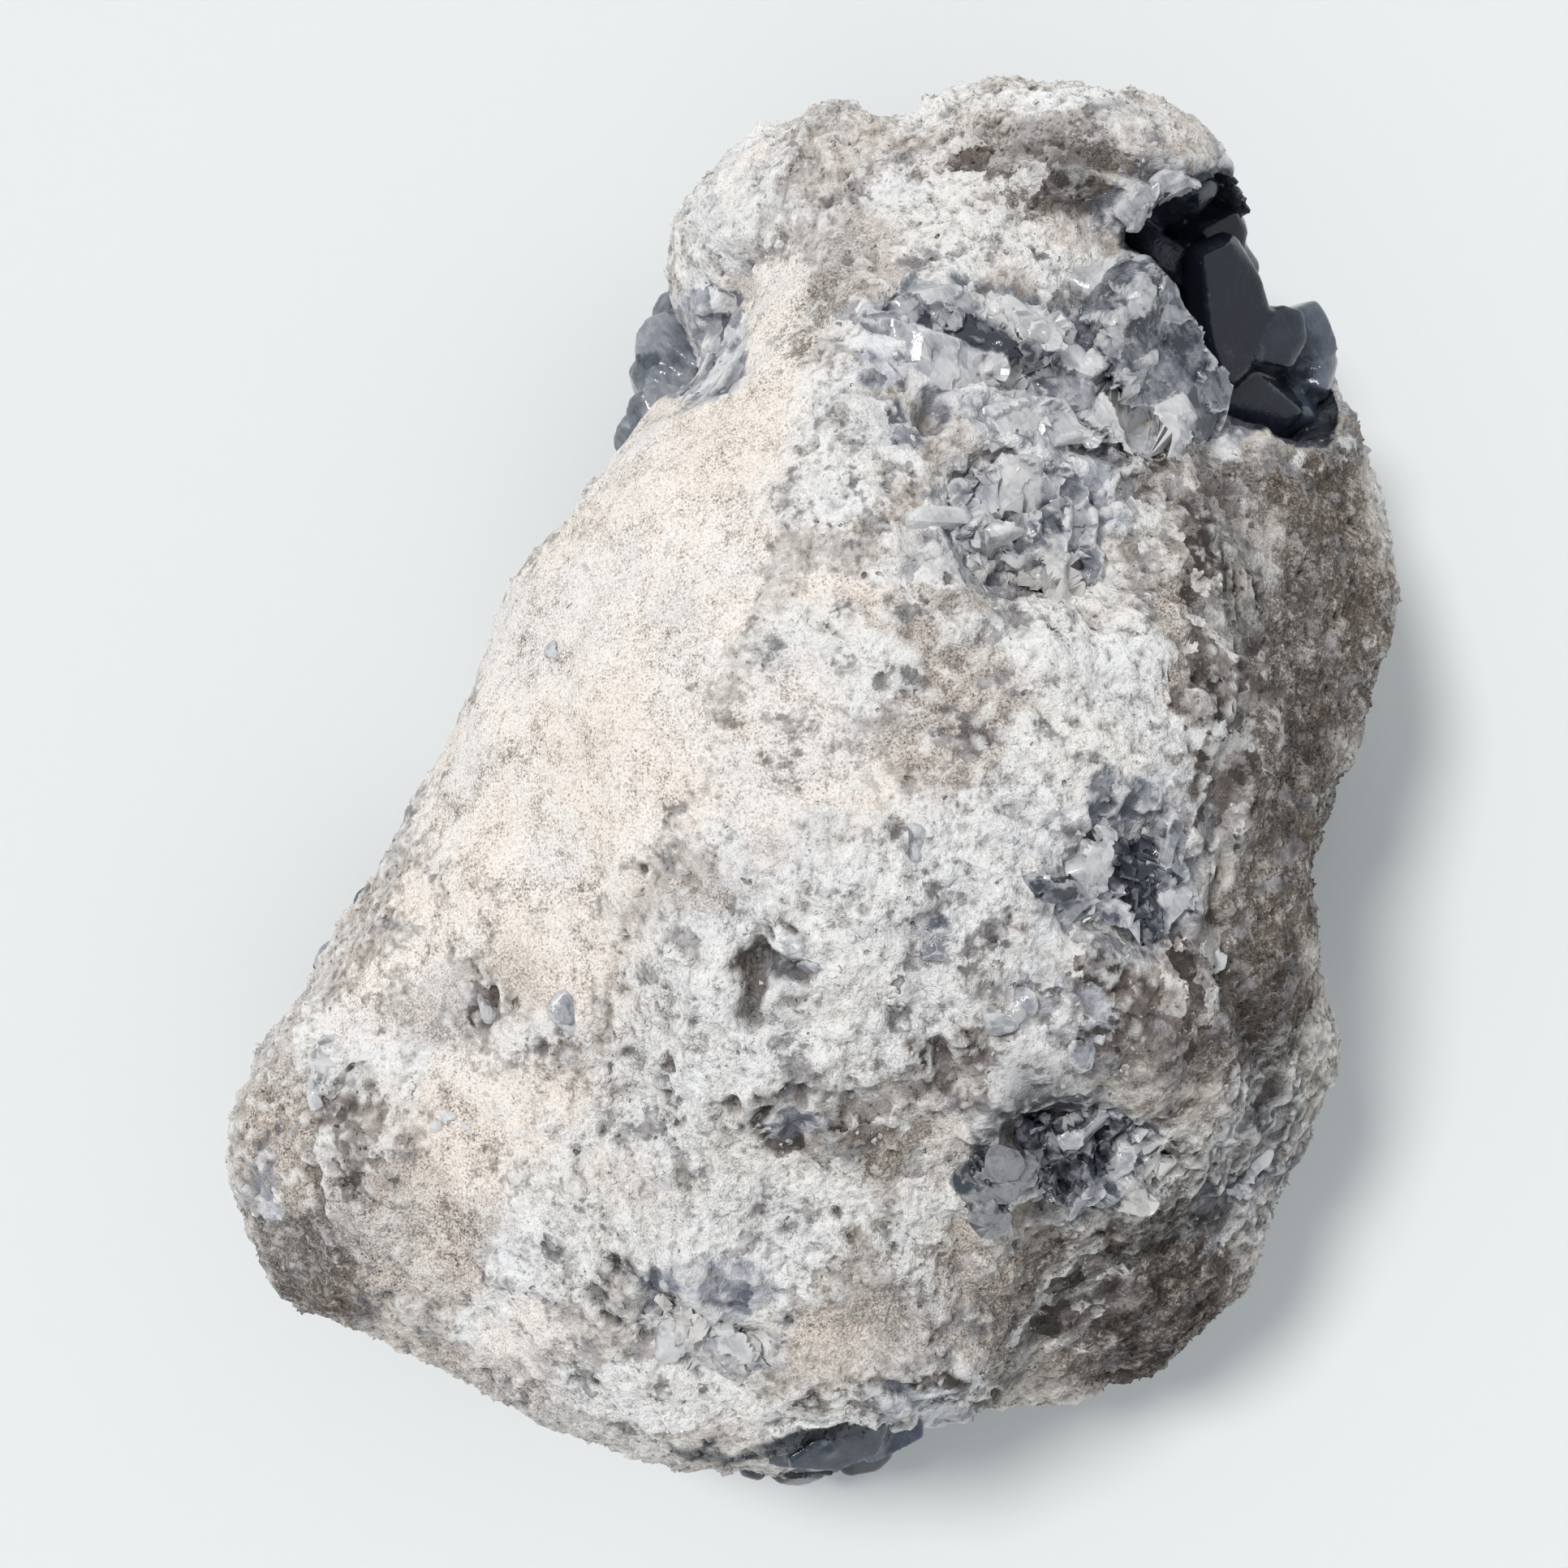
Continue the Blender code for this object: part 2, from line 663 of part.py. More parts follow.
def main():
    """Builds the rock and every group of crystals."""
    clear_scene()
    part = new_collection("celestite_crystal_cluster")
    scratch = new_collection("forms")
    rock_material = make_material("limy rock", ROCK_COLOUR, 0.85)
    celestite = make_material("celestite", CELESTITE_COLOUR, 0.2)

    skin = thin_out(rock_body(scratch), ROCK_TRIANGLES, scratch)
    cut_flat(skin)
    tree = BVHTree.FromBMesh(skin)
    uncut = finish_object(skin, "uncut", scratch)

    solids = {"underside_crystal_crust": under_crust(scratch)}
    room = [under_shell(UNDER_HALF, scratch)]
    for group in VEINS + EDGES:
        solids[group.name], taken = group_solids(group, group in VEINS, tree, scratch)
        room += taken
    solids["hollow_crystals"], taken = mouth_solids(scratch)
    room += taken

    rock = finish_object(combine(uncut, room, "DIFFERENCE", scratch), "rock", part)
    rock.data.materials.append(rock_material)
    for name, bm in solids.items():
        crystals = finish_object(bm, name, part)
        crystals.data.materials.append(celestite)


if __name__ == "__main__":
    main()
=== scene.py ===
"""The looks of a celestite geode fragment that lies with its crystal side down.

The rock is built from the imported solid: smoothed, given its lumps, pits, broken facets and
fibres, and marked with its kinds of ground. Geometry Nodes then strew chips of celestite and
sugary grains over it. Lengths are millimetres up to the moment that a mesh is made.
"""

from __future__ import annotations

import functools
import itertools
import json
import logging
import math
import random
from dataclasses import dataclass
from enum import Enum

import bmesh
import bpy
import numpy as np
from mathutils import Matrix, Vector
from mathutils.bvhtree import BVHTree

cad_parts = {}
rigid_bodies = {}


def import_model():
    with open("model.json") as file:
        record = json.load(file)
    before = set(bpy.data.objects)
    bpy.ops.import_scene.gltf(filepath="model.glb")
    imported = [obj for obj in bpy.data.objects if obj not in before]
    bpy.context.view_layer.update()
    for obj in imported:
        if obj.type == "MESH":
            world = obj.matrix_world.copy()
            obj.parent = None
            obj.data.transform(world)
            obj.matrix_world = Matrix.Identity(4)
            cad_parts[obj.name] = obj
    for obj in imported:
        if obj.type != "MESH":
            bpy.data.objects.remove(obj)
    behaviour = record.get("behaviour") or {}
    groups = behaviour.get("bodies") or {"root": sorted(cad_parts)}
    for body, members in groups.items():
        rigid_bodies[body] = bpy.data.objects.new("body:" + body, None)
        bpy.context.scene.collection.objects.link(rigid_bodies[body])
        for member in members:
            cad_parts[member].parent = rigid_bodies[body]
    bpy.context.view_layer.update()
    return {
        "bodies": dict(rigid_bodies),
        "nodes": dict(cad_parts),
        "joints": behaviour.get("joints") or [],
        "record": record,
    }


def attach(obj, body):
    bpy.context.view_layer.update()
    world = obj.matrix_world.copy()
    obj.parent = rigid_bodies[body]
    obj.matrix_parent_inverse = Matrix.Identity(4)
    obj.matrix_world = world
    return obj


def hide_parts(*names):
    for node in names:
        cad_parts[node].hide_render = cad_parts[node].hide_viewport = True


MM = 0.001
BODY = "root"
PICTURE = 1932  # pixels along each side of the picture
CAMERA_PLACE = (-3.0, 4.0, 320.0)
HALF_FIELD = math.radians(18.0)
WELD = 0.00001  # metres between points that are one point
LEAN = 0.38  # how far a broken face leans away from the ground under it
FRAY = 0.18  # how far the edges of broken faces wander, as a share of their width
DEEPEST = 0.16  # how far a broken face can stand out or lie in, as a share of its width
LOG = logging.getLogger("celestite")

Socket = bpy.types.NodeSocket
Stops = tuple[tuple[float, str], ...]
Triple = tuple[float, float, float]


class Mark(Enum):
    """A kind of ground, or a lie of the ground, that the rock's skin shows."""

    SAND = "sand"
    CHALK = "chalk"
    GLASS = "glass"
    BROWN = "brown"
    FIBRE = "fibre"
    SLANT = "slant"
    DEEP = "deep"
    GLOOM = "gloom"
    HOLLOW = "hollow"
    ROUGH = "rough"
    TAN = "tan"
    SMOKE = "smoke"
    CREST = "crest"
    SHADE = "shade"


@dataclass(frozen=True)
class Patch:
    """A patch of one kind of ground, placed on the view from above.

    Attributes:
        mark: the kind of ground.
        x: pixels from the left of the picture.
        y: pixels from the top of the picture.
        across: half-width in pixels.
        along: half-length in pixels.
        turn: clockwise turn of its long side from the picture's upright, in degrees.
        amount: how strongly it shows.
    """

    mark: Mark
    x: float
    y: float
    across: float
    along: float
    turn: float = 0.0
    amount: float = 1.0


@dataclass(frozen=True)
class Dent:
    """A hole, groove or rise of the rock, placed on the view from above.

    Attributes:
        line: pixels along its middle; one place for a round hole.
        half: half-width in pixels.
        depth: depth in millimetres; below zero for a rise.
        dirt_and_shade: how much it is darkened: clay, and painted shade in the hole or groove.
    """

    line: tuple[tuple[float, float], ...]
    half: float
    depth: float
    dirt_and_shade: float = 1.0


def patches(mark: Mark, *rows: tuple[float, ...]) -> tuple[Patch, ...]:
    """Gives rows of x, y, across, along, turn and amount their kind of ground."""
    return tuple(Patch(mark, *row) for row in rows)


PATCHES: tuple[Patch, ...] = (
    *patches(
        Mark.SAND,
        (800, 700, 120, 390, 24), (700, 900, 160, 250, 22), (930, 430, 45, 110, 25),
        (620, 1140, 150, 70, 15, 0.7), (470, 1230, 60, 110, 40, 0.6), (560, 1400, 60, 130, 10, 0.75),
        (650, 1370, 80, 70, 0, 0.7), (700, 1190, 60, 80, 0, 0.75), (560, 1530, 45, 80, 15, 0.7),
        (1050, 725, 75, 32, 0, 0.6), (1020, 1650, 120, 40, -12, 0.6), (880, 205, 40, 50, 30, 0.6),
        (650, 1640, 60, 30, 30, 0.6), (960, 920, 80, 130, 25, 0.7), (1060, 960, 70, 60, 0, 0.5),
    ),
    *patches(
        Mark.TAN,
        (1180, 880, 70, 85, 20), (1110, 760, 70, 30, 20, 0.7), (470, 1490, 90, 100, -20, 0.9),
        (560, 1540, 50, 70, 15, 0.8), (350, 1420, 50, 110, 0, 0.8), (560, 1240, 120, 50, -20, 0.6),
        (860, 1090, 120, 40, -10, 0.5), (1000, 1030, 60, 40, 0, 0.5), (830, 760, 60, 30, 0, 0.35),
        (1040, 330, 50, 90, 30, 0.5), (1130, 1400, 110, 60, 0, 0.5), (1060, 1640, 160, 40, -12, 0.6),
        (1200, 1580, 60, 110, 20, 0.8), (1490, 800, 60, 160, -8, 0.8), (1420, 1250, 120, 70, 10, 0.8),
        (620, 1690, 90, 30, 25, 0.7), (1450, 700, 70, 120, -8, 0.7),
    ),
    *patches(
        Mark.SMOKE,
        (1330, 1235, 130, 80, 10), (1505, 760, 50, 200, -6, 0.8), (1490, 1000, 45, 160, 0, 0.8),
        (1440, 1180, 90, 70, 0, 0.9), (1000, 1370, 110, 40, 5, 0.8), (950, 1200, 50, 70, 0, 0.9),
        (1240, 1300, 80, 60, 0, 0.8), (1160, 1320, 50, 50, 0, 0.7), (1310, 480, 50, 25, 5, 0.9),
        (1400, 560, 60, 30, 20, 0.8), (1420, 640, 50, 90, 0, 0.6), (440, 1400, 60, 90, 0, 0.6),
        (590, 1240, 30, 40, 0, 0.7), (1100, 1720, 130, 30, -10, 0.8), (760, 1590, 60, 40, 0, 0.6),
        (1360, 220, 110, 30, 8, 0.8), (1240, 190, 90, 25, -5, 0.6), (1330, 1590, 60, 90, 38, 0.8),
    ),
    *patches(
        Mark.CHALK,
        (1600, 700, 14, 130, -8, 0.7), (1480, 870, 30, 120, -4, 0.6), (985, 610, 90, 55, 0),
        (900, 1625, 110, 60, 0), (1450, 900, 60, 130, 0, 0.8), (1130, 690, 60, 60, 0, 0.7),
        (880, 1560, 120, 60, 0, 0.7), (640, 1440, 60, 60, 0, 0.6), (1060, 560, 70, 60, 0, 0.8),
        (1190, 250, 110, 90, 0), (1000, 450, 60, 120, 20, 0.7), (1385, 400, 50, 80, -20, 1.3),
        (1320, 330, 60, 30, 0, 1), (1080, 800, 150, 70, 0, 0.9), (1340, 820, 130, 150, 0),
        (1290, 940, 90, 120, 0, 0.9), (1010, 1080, 150, 120, 0), (1170, 1110, 100, 150, 10),
        (870, 1240, 110, 130, 0), (810, 1420, 80, 200, 5), (700, 1480, 90, 120, 10),
        (1060, 1260, 130, 70, 0, 0.9), (950, 1500, 120, 120, 0, 0.8), (1160, 1500, 60, 150, 15, 0.9),
        (620, 1580, 50, 60, 30), (880, 1730, 240, 40, 8, 0.9), (500, 1320, 70, 60, 0, 0.7),
        (670, 1270, 70, 45, 0, 0.8), (410, 1300, 60, 90, 20, 0.8), (1230, 130, 170, 30, -5, 0.7),
        (1530, 1380, 35, 120, 35, 0.9), (1420, 1450, 40, 90, 35, 0.8), (1460, 620, 90, 80, 0, 0.6),
        (900, 250, 70, 120, 15, 0.9), (1290, 1550, 18, 80, 38, 0.8), (1390, 1545, 16, 80, 40, 0.7),
    ),
    *patches(
        Mark.GLASS,
        (1180, 430, 130, 80, 10), (1300, 440, 60, 90, 0, 0.9), (1130, 520, 60, 40, 0, 0.7),
        (1430, 420, 40, 120, -32), (1500, 500, 50, 50, -20), (1290, 520, 110, 40, 10, 0.8),
        (1270, 630, 130, 85, -20), (1180, 660, 60, 60, 0), (1380, 1080, 100, 105, 0),
        (1290, 1240, 80, 50, 20, 0.6), (1320, 1410, 110, 80, 25), (1540, 1430, 55, 110, 35, 0.7),
        (870, 1600, 90, 45, 0, 0.75), (910, 1665, 80, 35, 0, 0.7), (860, 330, 40, 140, 10, 0.3),
        (860, 420, 60, 70, 0), (1430, 245, 90, 45, 10, 0.9), (1515, 270, 30, 110, 0),
        (1610, 540, 50, 50, 0, 0.5), (1660, 500, 40, 80, -20, 0.5), (960, 1190, 45, 35, 0, 0.8),
        (1145, 1155, 28, 36, 0, 0.7), (330, 1470, 30, 50, 0, 0.6), (1000, 1365, 80, 22, 0, 0.6),
        (1120, 1725, 70, 22, 0, 0.8), (1480, 1060, 30, 90, 0, 0.5),
    ),
    *patches(
        Mark.BROWN,
        # The first three lie under the top rim, where their brown is partly painted shade.
        (1310, 195, 150, 35, 5, 0.65), (1180, 180, 80, 25, -10, 0.5), (1270, 235, 50, 35, 0, 0.7),
        (1005, 385, 40, 60, 20, 0.5), (1640, 700, 60, 210, -12, 0.9), (1595, 950, 65, 250, 0, 0.95),
        (1570, 1190, 60, 120, 0), (1640, 520, 50, 60, -30, 0.8), (1480, 1230, 90, 90, 0, 0.8),
        (1380, 1300, 110, 45, 0, 0.6), (1370, 1610, 150, 100, 25, 0.85), (1450, 1560, 80, 90, 35, 0.9),
        (1510, 600, 60, 80, -20, 0.6), (1480, 760, 50, 110, 0, 0.45), (1230, 1620, 50, 90, 20, 0.6),
        (1080, 1400, 90, 50, 0, 0.5), (1290, 1330, 100, 30, 0, 0.5), (380, 1560, 50, 90, -45, 0.8),
        (1190, 730, 60, 30, 0, 0.5), (1080, 1590, 60, 60, 0, 0.4),
    ),
    *patches(
        Mark.FIBRE,
        (790, 1400, 130, 260, 3), (1130, 1250, 120, 200, 15, 0.8), (1170, 1520, 70, 150, 18, 0.8),
        (1580, 850, 90, 420, 0, 0.7), (1000, 240, 60, 160, 35, 0.8),
    ),
    *patches(
        Mark.SLANT,
        (1510, 1400, 110, 180, 38), (1400, 1600, 130, 110, 38), (1320, 1420, 110, 90, 38, 0.8),
    ),
    *patches(
        Mark.DEEP,
        (1040, 1792, 105, 24, -6), (880, 1800, 70, 14, 8, 0.6),
    ),
    # Gloom darkens glassy ground and crystals: dark crystal, and painted shade in the hollow, the pockets
    # and under the top rim.
    *patches(
        Mark.GLOOM,
        (1490, 400, 45, 150, -32, 1), (1395, 1085, 80, 80, 0, 0.55), (1297, 1100, 34, 28, 0, 1),
        (1410, 1065, 34, 30, 0, 1), (1425, 1130, 30, 40, 10, 0.9), (1310, 1420, 110, 70, 25, 0.95),
        (1320, 1405, 35, 90, 50, 1), (1235, 1455, 60, 60, 20, 1), (1430, 250, 80, 40, 0, 0.45),
        (1520, 270, 30, 100, 0, 0.6), (1305, 645, 40, 55, 20, 0.35), (1190, 410, 90, 25, 20, 0.5),
        (820, 1600, 30, 20, 0, 0.4), (1560, 1450, 40, 60, 35, 0.4), (1050, 1790, 160, 40, 0, 1),
        (840, 420, 60, 60, 0, 0.3),
    ),
)

# The last column darkens each dent: clay, and painted shade in its hole or groove.
DENTS: tuple[Dent, ...] = tuple(
    Dent(*row)
    for row in (
        (((1040, 140), (990, 210), (940, 280)), 40, -2.4, 0.0),
        (((1000, 200), (915, 345), (855, 430), (785, 505), (725, 575)), 14, 0.9, 0.35),
        (((1490, 560), (1530, 700), (1545, 850), (1500, 1000), (1510, 1200), (1560, 1330)), 22, 1.3, 0.6),
        (((1205, 1735), (1240, 1600), (1230, 1450)), 46, -2.2, 0.0),
        (((752, 1165), (748, 1260), (756, 1350)), 6, 0.5, 0.3),
        (((1180, 190), (1280, 185), (1380, 200), (1450, 225)), 16, 1.6, 0.55),
        (((1147, 508),), 25, 2.6, 0.7), (((1405, 1062), (1402, 1100), (1412, 1150)), 17, 3.2, 1.0),
        (((1405, 1062),), 30, 2.0, 1.0), (((408, 1440),), 10, 2.0, 1.0),
        (((940, 1170), (925, 1250)), 20, 2.0, 0.8), (((920, 1180), (1000, 1195)), 16, 1.4, 0.8),
        (((905, 1355),), 13, 1.3, 0.9), (((945, 1360),), 12, 1.3, 0.9), (((992, 1352),), 12, 1.3, 0.9),
        (((1040, 1362),), 15, 1.2, 0.8), (((1105, 1022),), 15, 1.2, 0.7),
        (((800, 1600), (850, 1612)), 18, 1.0, 0.3), (((730, 1600),), 16, 1.4, 0.9),
        (((1250, 1400), (1330, 1370)), 20, 1.6, 0.5), (((1240, 1480), (1340, 1440)), 18, 2.0, 0.5),
        (((1200, 690), (1260, 725)), 14, 1.6, 0.45), (((1330, 620), (1330, 700)), 14, 1.2, 0.25),
        (((435, 1360),), 14, 1.2, 0.9), (((595, 1225), (600, 1255)), 13, 1.2, 0.6),
        (((1160, 1290), (1165, 1330)), 15, 1.1, 0.8), (((1230, 1270),), 18, 1.2, 0.8),
        (((840, 1420), (842, 1460)), 12, 0.9, 0.7), (((1280, 250), (1340, 262)), 14, 1.0, 0.8),
        (((380, 1440), (392, 1500)), 9, 1.0, 0.8),
        (((1100, 780), (1180, 770), (1290, 800)), 60, -1.0, 0.0),
        (((900, 1230), (900, 1430), (880, 1560)), 70, -1.2, 0.0),
        (((1390, 350), (1380, 460)), 40, -1.6, 0.0), (((960, 620), (1010, 560)), 45, -1.0, 0.0),
    )
)


def hex_colour(text: str) -> tuple[float, float, float, float]:
    """Turns an sRGB hex colour into a linear one.

    Args:
        text: the colour, such as "#d8d0c6".

    Returns:
        Linear red, green and blue, and an alpha of one.
    """
    parts = [int(text[k : k + 2], 16) / 255 for k in (1, 3, 5)]
    linear = [c / 12.92 if c <= 0.04045 else ((c + 0.055) / 1.055) ** 2.4 for c in parts]
    return (linear[0], linear[1], linear[2], 1.0)


@dataclass(frozen=True)
class Nodes:
    """Adds nodes to one tree and hands on what they give out.

    Attributes:
        tree: the node tree.
    """

    tree: bpy.types.NodeTree

    def fill(self, node: bpy.types.Node, links: dict) -> None:
        """Links or sets a node's inputs.

        Args:
            node: the node.
            links: for each input's name or number, a socket to link, a hex colour or a value.
        """
        for name, value in links.items():
            if isinstance(value, Socket):
                self.tree.links.new(value, node.inputs[name])
            elif isinstance(value, str) and value.startswith("#"):
                node.inputs[name].default_value = hex_colour(value)
            else:
                node.inputs[name].default_value = value

    def add(self, kind: str, links: dict | None = None, **settings) -> bpy.types.bpy_prop_collection:
        """Adds one node with its settings and links.

        Args:
            kind: the node's type name.
            links: for each input's name or number, a socket to link, a hex colour or a value.
            **settings: the node's own properties; stops holds a colour ramp's places and colours.

        Returns:
            The new node's outputs.
        """
        node = self.tree.nodes.new(kind)
        stops = settings.pop("stops", ())
        for name, value in settings.items():
            setattr(node, name, value)
        for _ in stops[2:]:
            node.color_ramp.elements.new(0.5)
        for number, (place, colour) in enumerate(stops):
            node.color_ramp.elements[number].position = place
            node.color_ramp.elements[number].color = hex_colour(colour)
        self.fill(node, links or {})
        return node.outputs

    def fact(self, name: str) -> Socket:
        """Reads a number that the mesh keeps for each point."""
        return self.add("ShaderNodeAttribute", attribute_name=name)["Fac"]

    def maths(self, operation: str, *values: Socket | float) -> Socket:
        """Works one number out of others."""
        return self.add("ShaderNodeMath", dict(enumerate(values)), operation=operation)[0]

    def vectors(self, operation: str, *values: Socket | Triple) -> Socket:
        """Works one vector out of others."""
        return self.add("ShaderNodeVectorMath", dict(enumerate(values)), operation=operation)[0]

    def summed(self, total: Socket | float, *parts: tuple[Socket | float, float]) -> Socket:
        """Adds shares of other numbers to a first one.

        Args:
            total: the first number.
            *parts: each other number with its share.

        Returns:
            The sum.
        """
        for value, share in parts:
            total = self.maths("MULTIPLY_ADD", value, share, total)
        return total

    def ranged(
        self,
        value: Socket,
        low: Socket | float = 0.0,
        high: Socket | float = 1.0,
        start: Socket | float = 0.0,
        end: Socket | float = 1.0,
        eased: bool = False,
    ) -> Socket:
        """Maps a number from one range to another and clamps it.

        Args:
            value: the number.
            low: value that gives the start.
            high: value that gives the end.
            start: result at the low value.
            end: result at the high value.
            eased: whether it sets off and arrives gently.

        Returns:
            The mapped number.
        """
        links = {"Value": value, "From Min": low, "From Max": high, "To Min": start, "To Max": end}
        shape = "SMOOTHSTEP" if eased else "LINEAR"
        return self.add("ShaderNodeMapRange", links, interpolation_type=shape)[0]

    def ramp(self, value: Socket, stops: Stops) -> Socket:
        """Picks a colour for a number."""
        return self.add("ShaderNodeValToRGB", {"Fac": value}, stops=stops)[0]

    def mix(
        self, share: Socket | float, first: Socket, second: Socket | str, how: str = "MIX"
    ) -> Socket:
        """Lays a share of a second colour over a first one."""
        links = {0: share, 6: first, 7: second}
        return self.add("ShaderNodeMix", links, data_type="RGBA", blend_type=how)[2]

    def blend(self, share: Socket, first: Socket | float, second: float) -> Socket:
        """Goes from a first number to a second one."""
        return self.add("ShaderNodeMix", {0: share, 2: first, 3: second}, data_type="FLOAT")[0]

    def noise(
        self, spot: Socket, size: float, detail: float, harsh: float, twist: float = 0.0
    ) -> Socket:
        """Adds noise whose widest lumps have a size in millimetres."""
        links = {"Vector": spot, "Scale": 1 / (size * MM), "Detail": detail, "Roughness": harsh}
        return self.add("ShaderNodeTexNoise", links | {"Distortion": twist})["Fac"]

    def drawn_noise(self, spot: Socket, sizes: Triple, detail: float, harsh: float) -> Socket:
        """Adds noise whose lumps have a size in millimetres along each axis."""
        drawn = self.vectors("MULTIPLY", spot, tuple(1 / size for size in sizes))
        return self.noise(drawn, 1.0, detail, harsh)

    def cells(self, spot: Socket, size: float) -> bpy.types.bpy_prop_collection:
        """Splits space into cells whose usual width is in millimetres."""
        return self.add("ShaderNodeTexVoronoi", {"Vector": spot, "Scale": 1 / (size * MM)})

    def turned(self, spot: Socket, angles: Triple, scale: Triple = (1.0, 1.0, 1.0)) -> Socket:
        """Turns coordinates by angles in degrees and scales them."""
        angles = tuple(math.radians(angle) for angle in angles)
        return self.add("ShaderNodeMapping", {"Vector": spot, "Rotation": angles, "Scale": scale})[0]


def smooth_step(low: float, high: float, value: np.ndarray) -> np.ndarray:
    """Eases from 0 to 1 as the value goes from low to high.

    Args:
        low: where the result is 0.
        high: where the result is 1.
        value: the values to ease.

    Returns:
        The eased values.
    """
    part = np.clip((value - low) / (high - low), 0.0, 1.0)
    return part * part * (3.0 - 2.0 * part)


def scrambled(cells: np.ndarray, seed: int) -> np.ndarray:
    """Gives each lattice cell its own fixed whole number.

    Args:
        cells: whole-number cell places, one row each.
        seed: picks another set of numbers.

    Returns:
        A number from 0 to 2**32 - 1 for each cell.
    """
    low_bits = 0xFFFFFFFF
    code = cells[:, 0] * 73856093 ^ cells[:, 1] * 19349663 ^ cells[:, 2] * 83492791
    code = (code ^ seed * 2654435761) & low_bits
    for _ in range(2):
        code = ((code ^ code >> 16) * 0x45D9F3B) & low_bits
    return code ^ code >> 16


def gradients() -> np.ndarray:
    """Makes the 256 fixed unit directions that the waves lean along."""
    chance = np.random.default_rng(5)
    rows = chance.normal(size=(256, 3))
    return rows / np.linalg.norm(rows, axis=1)[:, None]


GRADIENTS = gradients()


def waves(
    points: np.ndarray, size: float, seed: int, rounds: int = 1, fade: float = 0.5
) -> np.ndarray:
    """Smooth irregular waves through space.

    Args:
        points: places in millimetres, one row each.
        size: length of the widest waves in millimetres.
        seed: picks another field of waves.
        rounds: how many times finer waves are added.
        fade: strength of each finer round against the one before.

    Returns:
        About -1 to 1 for each point.
    """
    total = np.zeros(len(points))
    strength = 1.6
    for step in range(rounds):
        spot = points * (2.0**step / size)
        cell = np.floor(spot)
        part = spot - cell
        cell = cell.astype(np.int64)
        ease = part * part * part * (part * (part * 6 - 15) + 10)
        for corner in itertools.product((0, 1), repeat=3):
            lean = GRADIENTS[scrambled(cell + corner, seed + step) & 255]
            weight = np.ones(len(points))
            for axis in range(3):
                weight *= ease[:, axis] if corner[axis] else 1 - ease[:, axis]
            total += strength * weight * ((part - corner) * lean).sum(axis=1)
        strength *= fade
    return total


@dataclass(frozen=True)
class Swell:
    """Irregular waves of one size.

    Attributes:
        size: length of the widest waves in millimetres.
        seed: picks a field of waves.
        rounds: how many times finer waves are added.
        height: how strong they are.
        fade: strength of each finer round against the one before.
    """

    size: float
    seed: int
    rounds: int = 1
    height: float = 1.0
    fade: float = 0.5

    def at(self, points: np.ndarray) -> np.ndarray:
        """The waves at places in millimetres."""
        return waves(points, self.size, self.seed, self.rounds, self.fade) * self.height


@dataclass(frozen=True)
class Grains:
    """What each point knows of the grain that it lies in.

    Attributes:
        near: distance to the grain's middle, in grain sizes.
        code: the grain's own whole number.
        luck: the grain's own random number from 0 to 1.
    """

    near: np.ndarray
    code: np.ndarray
    luck: np.ndarray


def grains(points: np.ndarray, size: float, seed: int) -> Grains:
    """Fills space with irregular grains.

    Args:
        points: places in millimetres, one row each.
        size: the grains' usual width in millimetres.
        seed: picks another set of grains.

    Returns:
        What each point knows of its grain.
    """
    spot = points / size
    base = np.floor(spot).astype(np.int64)
    near = np.full(len(points), 9.0)
    code = np.zeros(len(points), np.int64)
    for step in itertools.product((-1, 0, 1), repeat=3):
        cell = base + step
        number = scrambled(cell, seed)
        middle = np.stack([(number >> shift & 1023) / 1023 for shift in (0, 10, 20)], axis=1)
        gap = spot - cell - middle
        far = (gap * gap).sum(axis=1)
        closer = far < near
        near = np.where(closer, far, near)
        code = np.where(closer, number, code)
    return Grains(near=np.sqrt(near), code=code, luck=(code >> 8 & 4095) / 4095)


def frayed(points: np.ndarray, width: float, seed: int) -> np.ndarray:
    """Stirs places so that faces of one width get uneven edges."""
    return points + FRAY * width * waves(points, 0.5 * width, seed)[:, None]


def cleaved(
    points: np.ndarray, normals: np.ndarray, width: float, step: float, seed: int
) -> tuple[np.ndarray, np.ndarray]:
    """Breaks a surface into flat faces that each lean their own way.

    Args:
        points: places in millimetres, one row each.
        normals: outward directions, one row each.
        width: usual width of a face in millimetres.
        step: how far faces stand from each other in millimetres.
        seed: picks another set of faces.

    Returns:
        How far each point moves out in millimetres, and its face's random number from 0 to 1.
    """
    grain = grains(frayed(points, width, seed), width, seed)
    codes, owner = np.unique(grain.code, return_inverse=True)
    owner = owner.ravel()
    number = np.bincount(owner)
    middle = np.stack([np.bincount(owner, points[:, k]) / number for k in range(3)], axis=1)
    way = np.stack([np.bincount(owner, normals[:, k]) / number for k in range(3)], axis=1)
    way = way + LEAN * GRADIENTS[codes & 255]
    way /= np.maximum(np.linalg.norm(way, axis=1), 1e-6)[:, None]
    middle = middle + way * (step * ((codes >> 8 & 4095) / 4095 - 0.5))[:, None]
    face = way[owner]
    along = np.maximum((normals * face).sum(axis=1), 0.4)
    rise = ((middle[owner] - points) * face).sum(axis=1) / along
    limit = DEEPEST * width
    return limit * np.tanh(rise / limit), grain.luck


def picture_place(points: np.ndarray) -> tuple[np.ndarray, np.ndarray]:
    """Finds where points show in the picture.

    Args:
        points: places in millimetres, one row each.

    Returns:
        Pixels from the left and pixels from the top.
    """
    scale = PICTURE / 2 / math.tan(HALF_FIELD) / (CAMERA_PLACE[2] - points[:, 2])
    middle = PICTURE / 2
    x = middle + (points[:, 0] - CAMERA_PLACE[0]) * scale
    y = middle - (points[:, 1] - CAMERA_PLACE[1]) * scale
    return x, y


